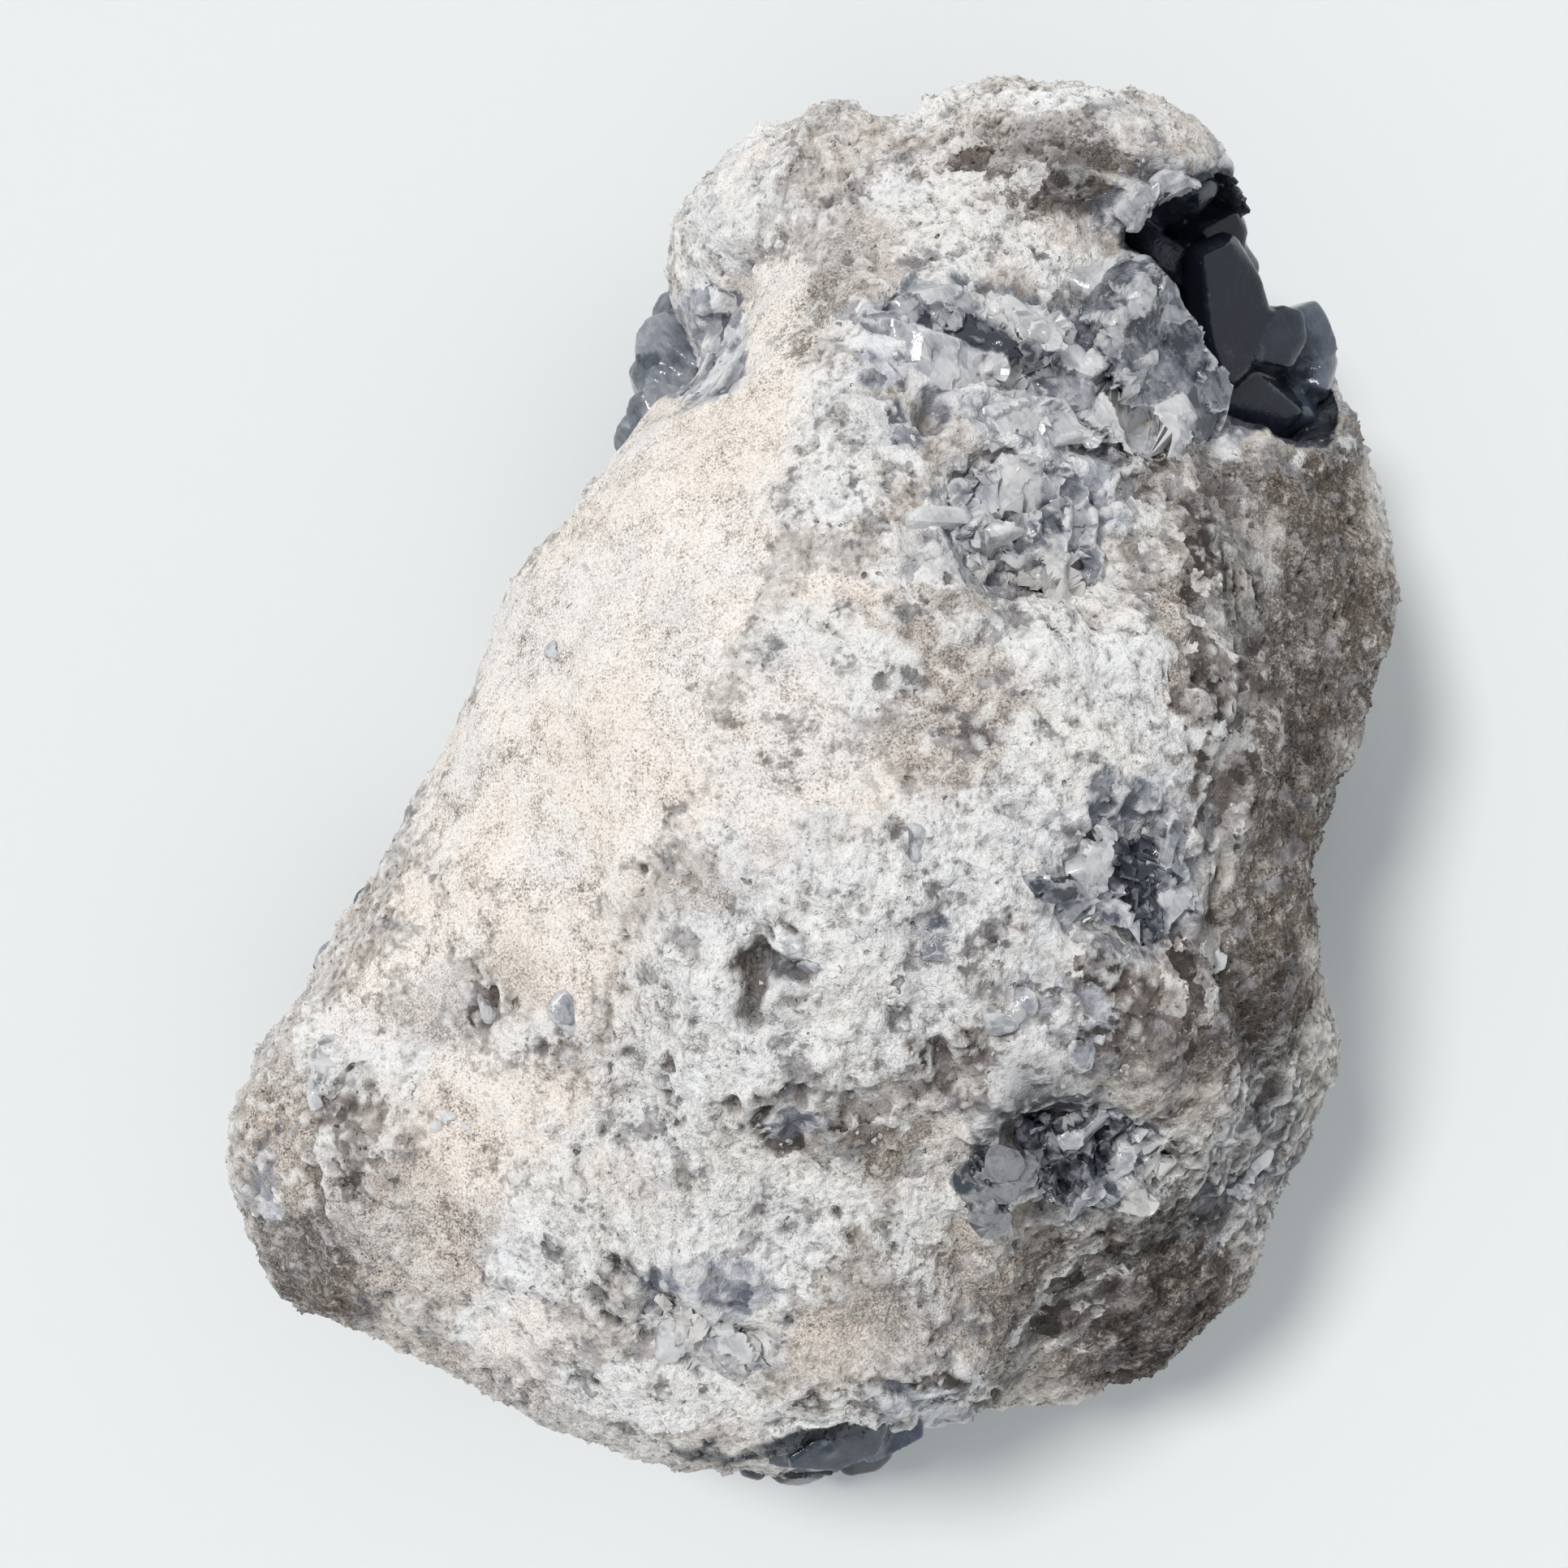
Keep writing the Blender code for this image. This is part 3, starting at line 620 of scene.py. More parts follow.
def sight_line(x: float, y: float) -> Vector:
    """The direction from the camera through a pixel of the picture.

    Args:
        x: pixels from the left.
        y: pixels from the top.

    Returns:
        A unit direction.
    """
    reach = math.tan(HALF_FIELD) / (PICTURE / 2)
    return Vector(((x - PICTURE / 2) * reach, -(y - PICTURE / 2) * reach, -1.0)).normalized()


def mesh_of(bm: bmesh.types.BMesh, name: str) -> bpy.types.Mesh:
    """Turns an edit mesh into a mesh.

    Args:
        bm: the edit mesh, which is freed.
        name: name of the mesh.

    Returns:
        The mesh.
    """
    mesh = bpy.data.meshes.new(name)
    bm.to_mesh(mesh)
    bm.free()
    return mesh


def set_out(name: str, data: bpy.types.ID) -> bpy.types.Object:
    """Puts a mesh, lamp or camera into the scene at the origin.

    Args:
        name: the object's name.
        data: the mesh, lamp or camera.

    Returns:
        The new object.
    """
    thing = bpy.data.objects.new(name, data)
    bpy.context.scene.collection.objects.link(thing)
    return thing


def weld_in(bm: bmesh.types.BMesh, node: bpy.types.Object) -> None:
    """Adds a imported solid's loose triangles to an edit mesh as one closed shape."""
    bm.from_mesh(node.data)
    bmesh.ops.remove_doubles(bm, verts=bm.verts, dist=WELD)


def settled(piece: bpy.types.Object) -> bpy.types.Object:
    """Turns a piece's live modifiers into its mesh.

    Args:
        piece: the object with modifiers.

    Returns:
        The same object with a plain mesh and no modifiers.
    """
    graph = bpy.context.evaluated_depsgraph_get()
    mesh = bpy.data.meshes.new_from_object(piece.evaluated_get(graph))
    piece.modifiers.clear()
    old = piece.data
    piece.data = mesh
    bpy.data.meshes.remove(old)
    mesh.name = piece.name
    return piece


def regrid(piece: bpy.types.Object, spacing: float) -> None:
    """Gives a piece a live modifier that rebuilds it on an even grid.

    Args:
        piece: the piece.
        spacing: the grid's spacing in millimetres.
    """
    remesh = piece.modifiers.new("even grid", "REMESH")
    remesh.mode = "VOXEL"
    remesh.voxel_size = spacing * MM


def thin(piece: bpy.types.Object, share: float) -> None:
    """Takes triangles away, most of them where a piece is flat.

    Args:
        piece: the piece.
        share: share of its triangles that is kept.
    """
    fewer = piece.modifiers.new("thin flat ground", "DECIMATE")
    fewer.ratio = share
    settled(piece)


def rows_of(items: bpy.types.bpy_prop_collection, name: str) -> np.ndarray:
    """Reads a vector of each item of a mesh.

    Args:
        items: the items.
        name: name of their vector.

    Returns:
        The vectors, one row each.
    """
    flat = np.zeros(len(items) * 3, np.float32)
    items.foreach_get(name, flat)
    return flat.reshape(-1, 3).astype(float)


def points_of(mesh: bpy.types.Mesh) -> np.ndarray:
    """A mesh's points in millimetres, one row each."""
    return rows_of(mesh.vertices, "co") / MM


def normals_of(mesh: bpy.types.Mesh) -> np.ndarray:
    """A mesh's outward directions at its points, one row each."""
    return rows_of(mesh.vertex_normals, "vector")


def triangle_count(mesh: bpy.types.Mesh) -> int:
    """How many triangles a mesh comes to."""
    return sum(len(polygon.vertices) - 2 for polygon in mesh.polygons)


def levelled(mesh: bpy.types.Mesh, rounds: int, share: np.ndarray | float = 1.0) -> np.ndarray:
    """Evens a mesh out.

    Args:
        mesh: the mesh, which stays as it is.
        rounds: how many edges away the surroundings reach.
        share: how much of each round each point follows.

    Returns:
        The evened places in millimetres, one row each.
    """
    level = points_of(mesh)
    ends = np.zeros(len(mesh.edges) * 2, np.int32)
    mesh.edges.foreach_get("vertices", ends)
    first, second = ends.reshape(-1, 2).T
    count = len(level)
    ties = np.maximum(np.bincount(first, minlength=count) + np.bincount(second, minlength=count), 1)
    for _ in range(rounds):
        for axis in range(3):
            side = level[:, axis]
            total = np.bincount(first, side[second], count) + np.bincount(second, side[first], count)
            level[:, axis] = side + 0.5 * share * (total / ties - side)
    return level


def standing_out(mesh: bpy.types.Mesh, rounds: int) -> np.ndarray:
    """How far each point of a mesh stands out of its surroundings.

    Args:
        mesh: the mesh.
        rounds: how many edges away the surroundings reach.

    Returns:
        Millimetres for each point, below zero in hollows.
    """
    return ((points_of(mesh) - levelled(mesh, rounds)) * normals_of(mesh)).sum(axis=1)


def move_points(mesh: bpy.types.Mesh, places: np.ndarray) -> None:
    """Moves a mesh's points, none of them under the floor.

    Args:
        mesh: the mesh.
        places: new places in millimetres, one row each.
    """
    places[:, 2] = np.maximum(places[:, 2], 0.0)
    mesh.vertices.foreach_set("co", (places * MM).astype(np.float32).ravel())
    mesh.update()


def store(mesh: bpy.types.Mesh, name: str, values: np.ndarray) -> None:
    """Keeps one number for each point of a mesh.

    Args:
        mesh: the mesh.
        name: the attribute's name.
        values: one number for each point.
    """
    layer = mesh.attributes.get(name) or mesh.attributes.new(name, "FLOAT", "POINT")
    layer.data.foreach_set("value", values.astype(np.float32))


def new_material(name: str) -> tuple[bpy.types.Material, bpy.types.Node, bpy.types.Node]:
    """Makes a material with only its shader and its output.

    Args:
        name: the material's name.

    Returns:
        The material, its shader node and its output node.
    """
    material = bpy.data.materials.new(name)
    material.use_nodes = True
    nodes = material.node_tree.nodes
    return material, nodes["Principled BSDF"], nodes["Material Output"]


@dataclass(frozen=True)
class Coat:
    """One kind of ground in the rock's finish.

    Attributes:
        mark: the kind of ground.
        stops: colours from its darkest grains to its lightest, with their places.
        grit: noise that picks among the colours.
        ragged: how far noise frays its edge.
        rough: roughness of its surface.
    """

    mark: Mark
    stops: Stops
    grit: str
    ragged: float
    rough: float


@dataclass(frozen=True)
class Pits:
    """Pits of one size, or stains where the depth is zero.

    Attributes:
        size: usual distance between their middles in millimetres.
        share: share of the places that have one.
        width: their half-width as a share of the distance.
        depth: depth in millimetres.
        stain_and_shade: colour inside: a stain, and painted shade inside the pits that have depth.
        cover: how much of the ground's colour the stain hides.
        in_sand: how much of them shows in sandy ground.
        stretch: how many times longer than wide they are.
    """

    size: float
    share: float
    width: float
    depth: float
    stain_and_shade: str
    cover: float
    in_sand: float = 0.0
    stretch: float = 1.0


@dataclass(frozen=True)
class Streaks:
    """Fibres of one direction.

    Attributes:
        mark: where they are.
        turn: their clockwise turn from the picture's upright, in degrees.
        stops: how much they darken or lighten the ground, with their places.
    """

    mark: Mark
    turn: float
    stops: Stops


@dataclass(frozen=True)
class LimyRock:
    """Marly limestone of a geode's wall: matte, sugary where it is crystalline, sandy where
    it is fine, with grey windows of celestite, and brown clay with painted shade in its pits and hollows.

    Attributes:
        name: the material's name.
        stir: size and reach in millimetres of the stirring that frays pits and fibres.
        noises: name, size in millimetres, detail and harshness of each shared noise.
        mixtures: shares of the shared noises in each mixed one.
        fragment: width of the broken facets in millimetres.
        ground: colours of the plain ground, with their places.
        rough: its roughness.
        coats: the kinds of ground, each over the ones before.
        warmth: tints of wide areas, cream to cool.
        windows: colours of the grey celestite that shows through the crust.
        gloom: colour of the darkest glassy ground: dark crystal, and painted shade in the hollow and the
            pockets.
        dirt_and_shade: colour laid in hollows, pits and dents: clay, and painted shade in the recesses.
        crest_tint: colour that lightens the points that stand out.
        grain: width of the rounded grains in millimetres.
        relief: heights of the noises in the fine relief.
        fibre: sizes of the fibres across, along and down, in millimetres.
        streaks: the fibres of each direction.
        pits: the pits and stains of each size.
        shine: specular level of its dusty skin.
    """

    name: str = "limy rock"
    stir: tuple[float, float] = (1.1, 1.6)
    noises: tuple[tuple[str, float, float, float], ...] = (
        ("patch", 5.5, 5.0, 0.70),
        ("chunk", 2.6, 4.0, 0.62),
        ("grit", 1.2, 4.0, 0.70),
        ("speck", 0.26, 2.0, 0.72),
        ("window", 4.4, 4.0, 0.58),
        ("warmth", 14.0, 2.0, 0.60),
    )
    mixtures: tuple[tuple[str, tuple[tuple[str, float], ...]], ...] = (
        ("mottle", (("patch", 0.5), ("grit", 0.5))),
        ("rough", (("patch", 0.4), ("grit", 0.35), ("speck", 0.25))),
        ("fine", (("patch", 0.3), ("grit", 0.2), ("speck", 0.5))),
        ("facet", (("chunk", 0.25), ("grit", 0.2), ("cell", 0.3), ("shade", 0.25))),
    )
    fragment: float = 3.0
    ground: Stops = ((0.381, "#928a83"), (0.449, "#c3bcb6"), (0.517, "#dbd5d0"), (0.602, "#f3f0ed"))
    rough: float = 0.82
    coats: tuple[Coat, ...] = tuple(
        Coat(mark, tuple(zip(places, colours)), grit, ragged, rough)
        for mark, grit, ragged, rough, places, colours in (
            (Mark.CHALK, "rough", 1.2, 0.75, (0.390, 0.449, 0.500, 0.585),
             ("#a3a09f", "#e0dddb", "#f6f4f2", "#ffffff")),
            (Mark.SAND, "fine", 1.5, 0.9, (0.390, 0.441, 0.491, 0.542),
             ("#7f756d", "#c9bfb7", "#eae1da", "#faf5f0")),
            (Mark.TAN, "fine", 1.1, 0.9, (0.398, 0.458, 0.508, 0.568),
             ("#6b615a", "#b1a7a0", "#d2c9c2", "#ebe5df")),
            (Mark.BROWN, "rough", 2.2, 0.85, (0.398, 0.458, 0.517, 0.585),
             ("#2b2623", "#5d554f", "#817871", "#c9c3be")),
            (Mark.SMOKE, "facet", 1.1, 0.6, (0.36, 0.45, 0.53, 0.62),
             ("#443e3a", "#7b736f", "#ada7a3", "#eceae8")),
            (Mark.GLASS, "facet", 1.1, 0.38, (0.34, 0.44, 0.54, 0.66),
             ("#6b6f7a", "#a3a5ad", "#cfcfd4", "#f6f5f5")),
            # DEEP: near-black; in the mouth it is painted shade, at the bottom rim dark glassy ground.
            (Mark.DEEP, "chunk", 0.5, 0.25, (0.30, 0.50, 0.65, 0.80),
             ("#1d2027", "#2f343d", "#494e58", "#696e78")),
        )
    )
    warmth: Stops = ((0.38, "#fefbf8"), (0.5, "#ffffff"), (0.62, "#fafbfe"))
    windows: Stops = ((0.35, "#5f5c5e"), (0.48, "#8a8688"), (0.60, "#b4b0b1"))
    # Dark glassy ground; in the hollow and the pockets it is painted shade.
    gloom: str = "#474b55"
    # Laid in hollows, pits and dents: clay, and painted shade in the recesses.
    dirt_and_shade: str = "#584f49"
    # Lightens the crests of the relief.
    crest_tint: str = "#fdfbf9"
    grain: float = 0.8
    relief: tuple[tuple[str, float], ...] = (("chunk", 0.7), ("grit", 0.55), ("speck", 0.12))
    fibre: Triple = (1.5, 6.0, 2.5)
    streaks: tuple[Streaks, ...] = (
        Streaks(Mark.FIBRE, 6.0, ((0.34, "#bdb8b5"), (0.42, "#f0efed"), (0.50, "#ffffff"))),
        Streaks(Mark.SLANT, 52.0, ((0.38, "#6f6964"), (0.48, "#b9b5b2"), (0.62, "#ffffff"))),
    )
    pits: tuple[Pits, ...] = (
        # These two have depth: their dark insides are partly painted shade.
        Pits(5.0, 0.30, 0.17, 0.7, "#574e47", 0.8),
        Pits(1.7, 0.26, 0.24, 0.4, "#6c635c", 0.7),
        Pits(1.6, 0.22, 0.16, 0.0, "#7b7068", 0.75, 1.0),
        Pits(3.4, 0.26, 0.14, 0.0, "#5d544d", 0.85, 1.0),
        Pits(3.0, 0.22, 0.13, 0.0, "#655b54", 0.8, 1.0, 4.0),
        Pits(9.0, 0.30, 0.07, 0.0, "#5b4232", 0.85, 1.0),
    )
    shine: float = 0.3

    def material(self) -> bpy.types.Material:
        """Builds the rock's material.

        Returns:
            The material, which reads Object coordinates and the marks.
        """
        material, shader, _ = new_material(self.name)
        nodes = Nodes(material.node_tree)
        spot = nodes.add("ShaderNodeTexCoord")["Object"]
        size, reach = self.stir
        stir = nodes.add("ShaderNodeTexNoise", {"Vector": spot, "Scale": 1 / (size * MM), "Detail": 2.0})
        warped = nodes.vectors("MULTIPLY_ADD", stir["Color"], (reach * MM,) * 3, spot)
        noise = self.shared_noises(nodes, spot, warped)
        colour, rough, masks = self.coated(nodes, noise)
        colour = nodes.mix(1.0, colour, nodes.ramp(noise["warmth"], self.warmth), "MULTIPLY")
        colour, rough = self.windowed(nodes, noise, colour, rough, masks)
        # Painted shade where the gloom patches darken glassy ground in the hollow and the pockets;
        # elsewhere dark crystal.
        gloom = nodes.maths("MULTIPLY", nodes.fact(Mark.GLOOM.value), masks[Mark.GLASS])
        colour = nodes.mix(nodes.ranged(gloom, high=1.1, end=0.85), colour, self.gloom)
        height = nodes.maths("MULTIPLY", nodes.cells(spot, self.grain)["Distance"], -0.22)
        height = nodes.summed(height, *((noise[name], share) for name, share in self.relief))
        for streaks in self.streaks:
            colour, height = self.streaked(nodes, warped, colour, height, streaks)
        for pits in self.pits:
            colour, height = self.pitted(nodes, warped, colour, height, masks[Mark.SAND], pits)
        # Painted shade: hollows, pits and dents are darkened, partly with clay.
        dirt_and_shade = nodes.ranged(nodes.fact(Mark.HOLLOW.value), low=0.1, end=0.85)
        colour = nodes.mix(dirt_and_shade, colour, self.dirt_and_shade)
        # Lightens the points that stand out.
        crest = nodes.summed(nodes.fact(Mark.CREST.value), (noise["grit"], 1.2))
        colour = nodes.mix(nodes.ranged(crest, 0.8, 1.5, end=0.6), colour, self.crest_tint)
        strength = nodes.ranged(masks[Mark.SAND], start=1.0, end=0.55)
        bump = nodes.add("ShaderNodeBump", {"Height": height, "Strength": strength, "Distance": MM})
        inputs = {"Base Color": colour, "Roughness": rough, "Normal": bump[0]}
        nodes.fill(shader, inputs | {"Specular IOR Level": self.shine})
        return material

    def shared_noises(self, nodes: Nodes, spot: Socket, warped: Socket) -> dict[str, Socket]:
        """Adds the noises that the grounds share.

        Args:
            nodes: the material's nodes.
            spot: Object coordinates.
            warped: the same, warped a little.

        Returns:
            Each noise by its name.
        """
        found = {name: nodes.noise(spot, *sizes) for name, *sizes in self.noises}
        found["shade"] = nodes.fact(Mark.SHADE.value)
        cell = nodes.cells(warped, self.fragment)["Color"]
        found["cell"] = nodes.add("ShaderNodeSeparateColor", {0: cell})[0]
        for name, shares in self.mixtures:
            found[name] = nodes.summed(0.0, *((found[part], share) for part, share in shares))
        return found

    def coated(
        self, nodes: Nodes, noise: dict[str, Socket]
    ) -> tuple[Socket, Socket, dict[Mark, Socket]]:
        """Lays each kind of ground over the ones before.

        Args:
            nodes: the material's nodes.
            noise: the shared noises.

        Returns:
            The colour, the roughness and each ground's mask.
        """
        colour = nodes.ramp(noise["mottle"], self.ground)
        rough = self.rough
        masks = {}
        for coat in self.coats:
            share = nodes.summed(nodes.fact(coat.mark.value), (noise["mottle"], 2 * coat.ragged))
            mask = nodes.ranged(share, 0.30 + coat.ragged, 0.66 + coat.ragged, eased=True)
            colour = nodes.mix(mask, colour, nodes.ramp(noise[coat.grit], coat.stops))
            rough = nodes.blend(mask, rough, coat.rough)
            masks[coat.mark] = mask
        return colour, rough, masks

    def windowed(
        self,
        nodes: Nodes,
        noise: dict[str, Socket],
        colour: Socket,
        rough: Socket,
        masks: dict[Mark, Socket],
    ) -> tuple[Socket, Socket]:
        """Lets grey celestite show through the crust with feathery edges.

        Args:
            nodes: the material's nodes.
            noise: the shared noises.
            colour: the colour so far.
            rough: the roughness so far.
            masks: each ground's mask.

        Returns:
            The colour and the roughness.
        """
        feather = nodes.summed(noise["window"], (noise["grit"], 0.25))
        mask = nodes.ranged(feather, 0.685, 0.75, end=0.85, eased=True)
        for hidden in (Mark.SAND, Mark.DEEP):
            mask = nodes.maths("MULTIPLY", mask, nodes.maths("SUBTRACT", 1.0, masks[hidden]))
        colour = nodes.mix(mask, colour, nodes.ramp(noise["chunk"], self.windows))
        return colour, nodes.blend(mask, rough, 0.3)

    def streaked(
        self, nodes: Nodes, spot: Socket, colour: Socket, height: Socket, streaks: Streaks
    ) -> tuple[Socket, Socket]:
        """Draws fibres of one direction.

        Args:
            nodes: the material's nodes.
            spot: Object coordinates, warped a little.
            colour: the colour so far.
            height: the height so far.
            streaks: their place, direction and strength.

        Returns:
            The colour and the height.
        """
        turned = nodes.turned(spot, (0.0, 0.0, streaks.turn))
        fibre = nodes.drawn_noise(turned, self.fibre, 4.0, 0.68)
        share = nodes.fact(streaks.mark.value)
        colour = nodes.mix(share, colour, nodes.ramp(fibre, streaks.stops), "MULTIPLY")
        return colour, nodes.summed(height, (nodes.maths("MULTIPLY", fibre, share), 0.9))

    def pitted(
        self,
        nodes: Nodes,
        spot: Socket,
        colour: Socket,
        height: Socket,
        sand: Socket,
        pits: Pits,
    ) -> tuple[Socket, Socket]:
        """Sinks pits of one size, or stains the ground.

        Args:
            nodes: the material's nodes.
            spot: Object coordinates, warped a little.
            colour: the colour so far.
            height: the height so far.
            sand: the sandy ground's mask.
            pits: their sizes.

        Returns:
            The colour and the height.
        """
        if pits.stretch > 1:
            spot = nodes.turned(spot, (0.0, 0.0, -40.0), (1.0, 1.0 / pits.stretch, 1.0))
        cell = nodes.cells(spot, pits.size)
        luck = nodes.add("ShaderNodeSeparateColor", {0: cell["Color"]})[1]
        width = nodes.ranged(luck, high=pits.share, start=pits.width, end=0.0)
        inner = nodes.maths("MULTIPLY", width, 0.4)
        mask = nodes.ranged(cell["Distance"], inner, width, 1.0, 0.0, eased=True)
        there = nodes.ranged(sand, start=1.0, end=pits.in_sand)
        mask = nodes.maths("MULTIPLY", mask, there)
        # A stain, and painted shade inside the pits that have depth.
        colour = nodes.mix(nodes.maths("MULTIPLY", mask, pits.cover), colour, pits.stain_and_shade)
        if pits.depth > 0:
            height = nodes.summed(height, (mask, -pits.depth))
        return colour, height


@dataclass(frozen=True)
class Celestite:
    """Celestite, strontium sulphate: heavy, brittle, glassy crystal with an index of 1.62 to
    1.63. Broken pieces are cloudy with pale cleavage faces; whole ones are clear and blue-grey.

    Attributes:
        name: the material's name.
        stops: colours from the darkest crystals to the palest.
        clear: how much light goes through.
        rough: lowest and highest roughness.
        tint: colour that the light takes on inside.
        depth: how fast it does so, per metre.
        broken: how much the tone changes from fragment to fragment.
        edge: colour of the bruised edges.
        dust: colour of the chalk on it.
        index: index of refraction.
        noises: name, size in millimetres, detail, harshness and twist of each noise.
        grown: angles in degrees of the direction that its threads grew in.
        thread: sizes of the threads across, along and down, in millimetres.
        fragment: width of the broken fragments in millimetres.
        stirring: reach in millimetres of the stirring that frays the fragments.
        ripple: height in millimetres of the waves on its faces.
    """

    name: str
    stops: Stops
    clear: float
    rough: tuple[float, float]
    tint: str
    depth: float
    broken: float = 0.05
    edge: str = "#f2f2f3"
    dust: str = "#f0ece8"
    index: float = 1.62
    noises: tuple[tuple[str, float, float, float, float], ...] = (
        ("cloud", 2.4, 5.0, 0.68, 0.4),
        ("feather", 1.1, 4.0, 0.68, 0.0),
        ("veil", 4.2, 6.0, 0.68, 0.0),
        ("ripple", 0.8, 3.0, 0.68, 0.0),
    )
    grown: Triple = (17.1887, 11.4592, -35.0)
    thread: Triple = (0.45, 5.0, 2.0)
    fragment: float = 2.2
    stirring: float = 0.8
    ripple: float = 0.12

    def material(self) -> bpy.types.Material:
        """Builds the crystal's material.

        Returns:
            The material, which reads Object coordinates and each crystal's own shade.
        """
        material, shader, out = new_material(self.name)
        nodes = Nodes(material.node_tree)
        spot = nodes.add("ShaderNodeTexCoord")["Object"]
        noise = {name: nodes.noise(spot, *sizes) for name, *sizes in self.noises}
        turned = nodes.turned(spot, self.grown)
        thread = nodes.drawn_noise(turned, self.thread, 3.0, 0.6)
        known = {mark: nodes.fact(mark.value) for mark in (Mark.SHADE, Mark.GLOOM)}
        reach = (self.stirring * MM,) * 3
        stirred = nodes.vectors("MULTIPLY_ADD", noise["ripple"], reach, turned)
        cell = nodes.cells(stirred, self.fragment)["Color"]
        # Gloom darkens the crystal: dark crystal, and painted shade in the hollow and the pockets.
        pick = nodes.summed(
            -0.45 - 0.5 * self.broken,
            (nodes.add("ShaderNodeSeparateColor", {0: cell})[0], self.broken),
            (noise["cloud"], 1.0),
            (thread, 0.4),
            (known[Mark.SHADE], 0.6),
            (known[Mark.GLOOM], -0.6),
        )
        colour = nodes.ramp(pick, self.stops)
        rim = nodes.maths("MULTIPLY_ADD", nodes.fact(Mark.CREST.value), 0.8, -0.55)
        rim = nodes.ranged(nodes.summed(rim, (noise["feather"], 1.4)), 0.5, 1.05, eased=True)
        tuft = nodes.ranged(noise["veil"], 0.56, 0.7, end=0.75, eased=True)
        pale = nodes.maths("MAXIMUM", rim, tuft)
        pale = nodes.maths("MULTIPLY", pale, nodes.ranged(known[Mark.GLOOM], start=0.85, end=0.2))
        colour = nodes.mix(pale, colour, self.edge)
        dusty = nodes.summed(nodes.fact(Mark.CHALK.value), (noise["feather"], 2.0))
        dusty = nodes.ranged(dusty, 1.3, 1.9, end=0.8, eased=True)
        colour = nodes.mix(dusty, colour, self.dust)
        pale = nodes.maths("MAXIMUM", pale, dusty)
        rough = nodes.ranged(pale, start=self.rough[0], end=self.rough[1])
        links = {"Height": noise["ripple"], "Strength": 0.7, "Distance": self.ripple * MM}
        bump = nodes.add("ShaderNodeBump", links)[0]
        nodes.fill(shader, {"Base Color": colour, "Roughness": rough, "Normal": bump})
        nodes.fill(shader, {"IOR": self.index, "Transmission Weight": self.clear})
        inside = nodes.add("ShaderNodeVolumeAbsorption", {"Color": self.tint, "Density": self.depth})
        nodes.fill(out, {"Volume": inside[0]})
        return material


ROCK = LimyRock()
BROKEN = Celestite(
    "broken celestite",
    ((0.05, "#3e434e"), (0.25, "#848892"), (0.45, "#b8b9bf"), (0.65, "#dadadd"), (0.9, "#f9f8f7")),
    clear=0.22,
    rough=(0.16, 0.55),
    tint="#a8b0bf",
    depth=40.0,
    broken=0.3,
)
BLUE = Celestite(
    "blue celestite",
    ((0.05, "#3c424e"), (0.3, "#69707c"), (0.55, "#979ca7"), (0.8, "#bcc0c7"), (1.0, "#e2e4e8")),
    clear=0.35,
    rough=(0.12, 0.45),
    tint="#8b96ab",
    depth=50.0,
    broken=0.12,
    edge="#dfe1e5",
)
# The crystals in the hollow and on the shaded rims: their dark colours are partly painted shade.
DARK_AND_SHADED = Celestite(
    "dark celestite",
    ((0.0, "#252b37"), (0.35, "#3c4454"), (0.65, "#596275"), (1.0, "#8b94a5")),
    clear=0.35,
    rough=(0.06, 0.25),
    tint="#5a6884",
    depth=60.0,
    edge="#8a93a3",
)


@functools.cache
def material_of(finish: LimyRock | Celestite) -> bpy.types.Material:
    """Builds each finish's material once."""
    return finish.material()


@dataclass(frozen=True)
class Scoop:
    """A round hollow in the rock.

    Attributes:
        centre: its middle in millimetres.
        half: its half sizes in millimetres.
        turn: its turn about the upright, in degrees.
    """

    centre: Triple
    half: Triple
    turn: float = 0.0

    def carve(self, piece: bpy.types.Object) -> None:
        """Cuts the hollow out of a closed piece.

        Args:
            piece: the piece.
        """
        bm = bmesh.new()
        turn = Matrix.Rotation(math.radians(self.turn), 4, "Z")
        place = Matrix.Translation(Vector(self.centre) * MM)
        half = Matrix.Diagonal(Vector(self.half) * MM).to_4x4()
        bmesh.ops.create_icosphere(bm, subdivisions=4, radius=1.0, matrix=place @ turn @ half)
        cutter = set_out("scoop", mesh_of(bm, "scoop"))
        cut = piece.modifiers.new("scoop", "BOOLEAN")
        cut.operation = "DIFFERENCE"
        cut.solver = "EXACT"
        cut.object = cutter
        settled(piece)
        bpy.data.objects.remove(cutter)

    def depth_in(self, points: np.ndarray) -> np.ndarray:
        """How deep in the hollow points are.

        Args:
            points: places in millimetres, one row each.

        Returns:
            Under 1 inside the hollow, and more outside.
        """
        gap = points - np.array(self.centre)
        turn = math.radians(-self.turn)
        x = gap[:, 0] * math.cos(turn) - gap[:, 1] * math.sin(turn)
        y = gap[:, 0] * math.sin(turn) + gap[:, 1] * math.cos(turn)
        half = self.half
        return np.sqrt((x / half[0]) ** 2 + (y / half[1]) ** 2 + (gap[:, 2] / half[2]) ** 2)


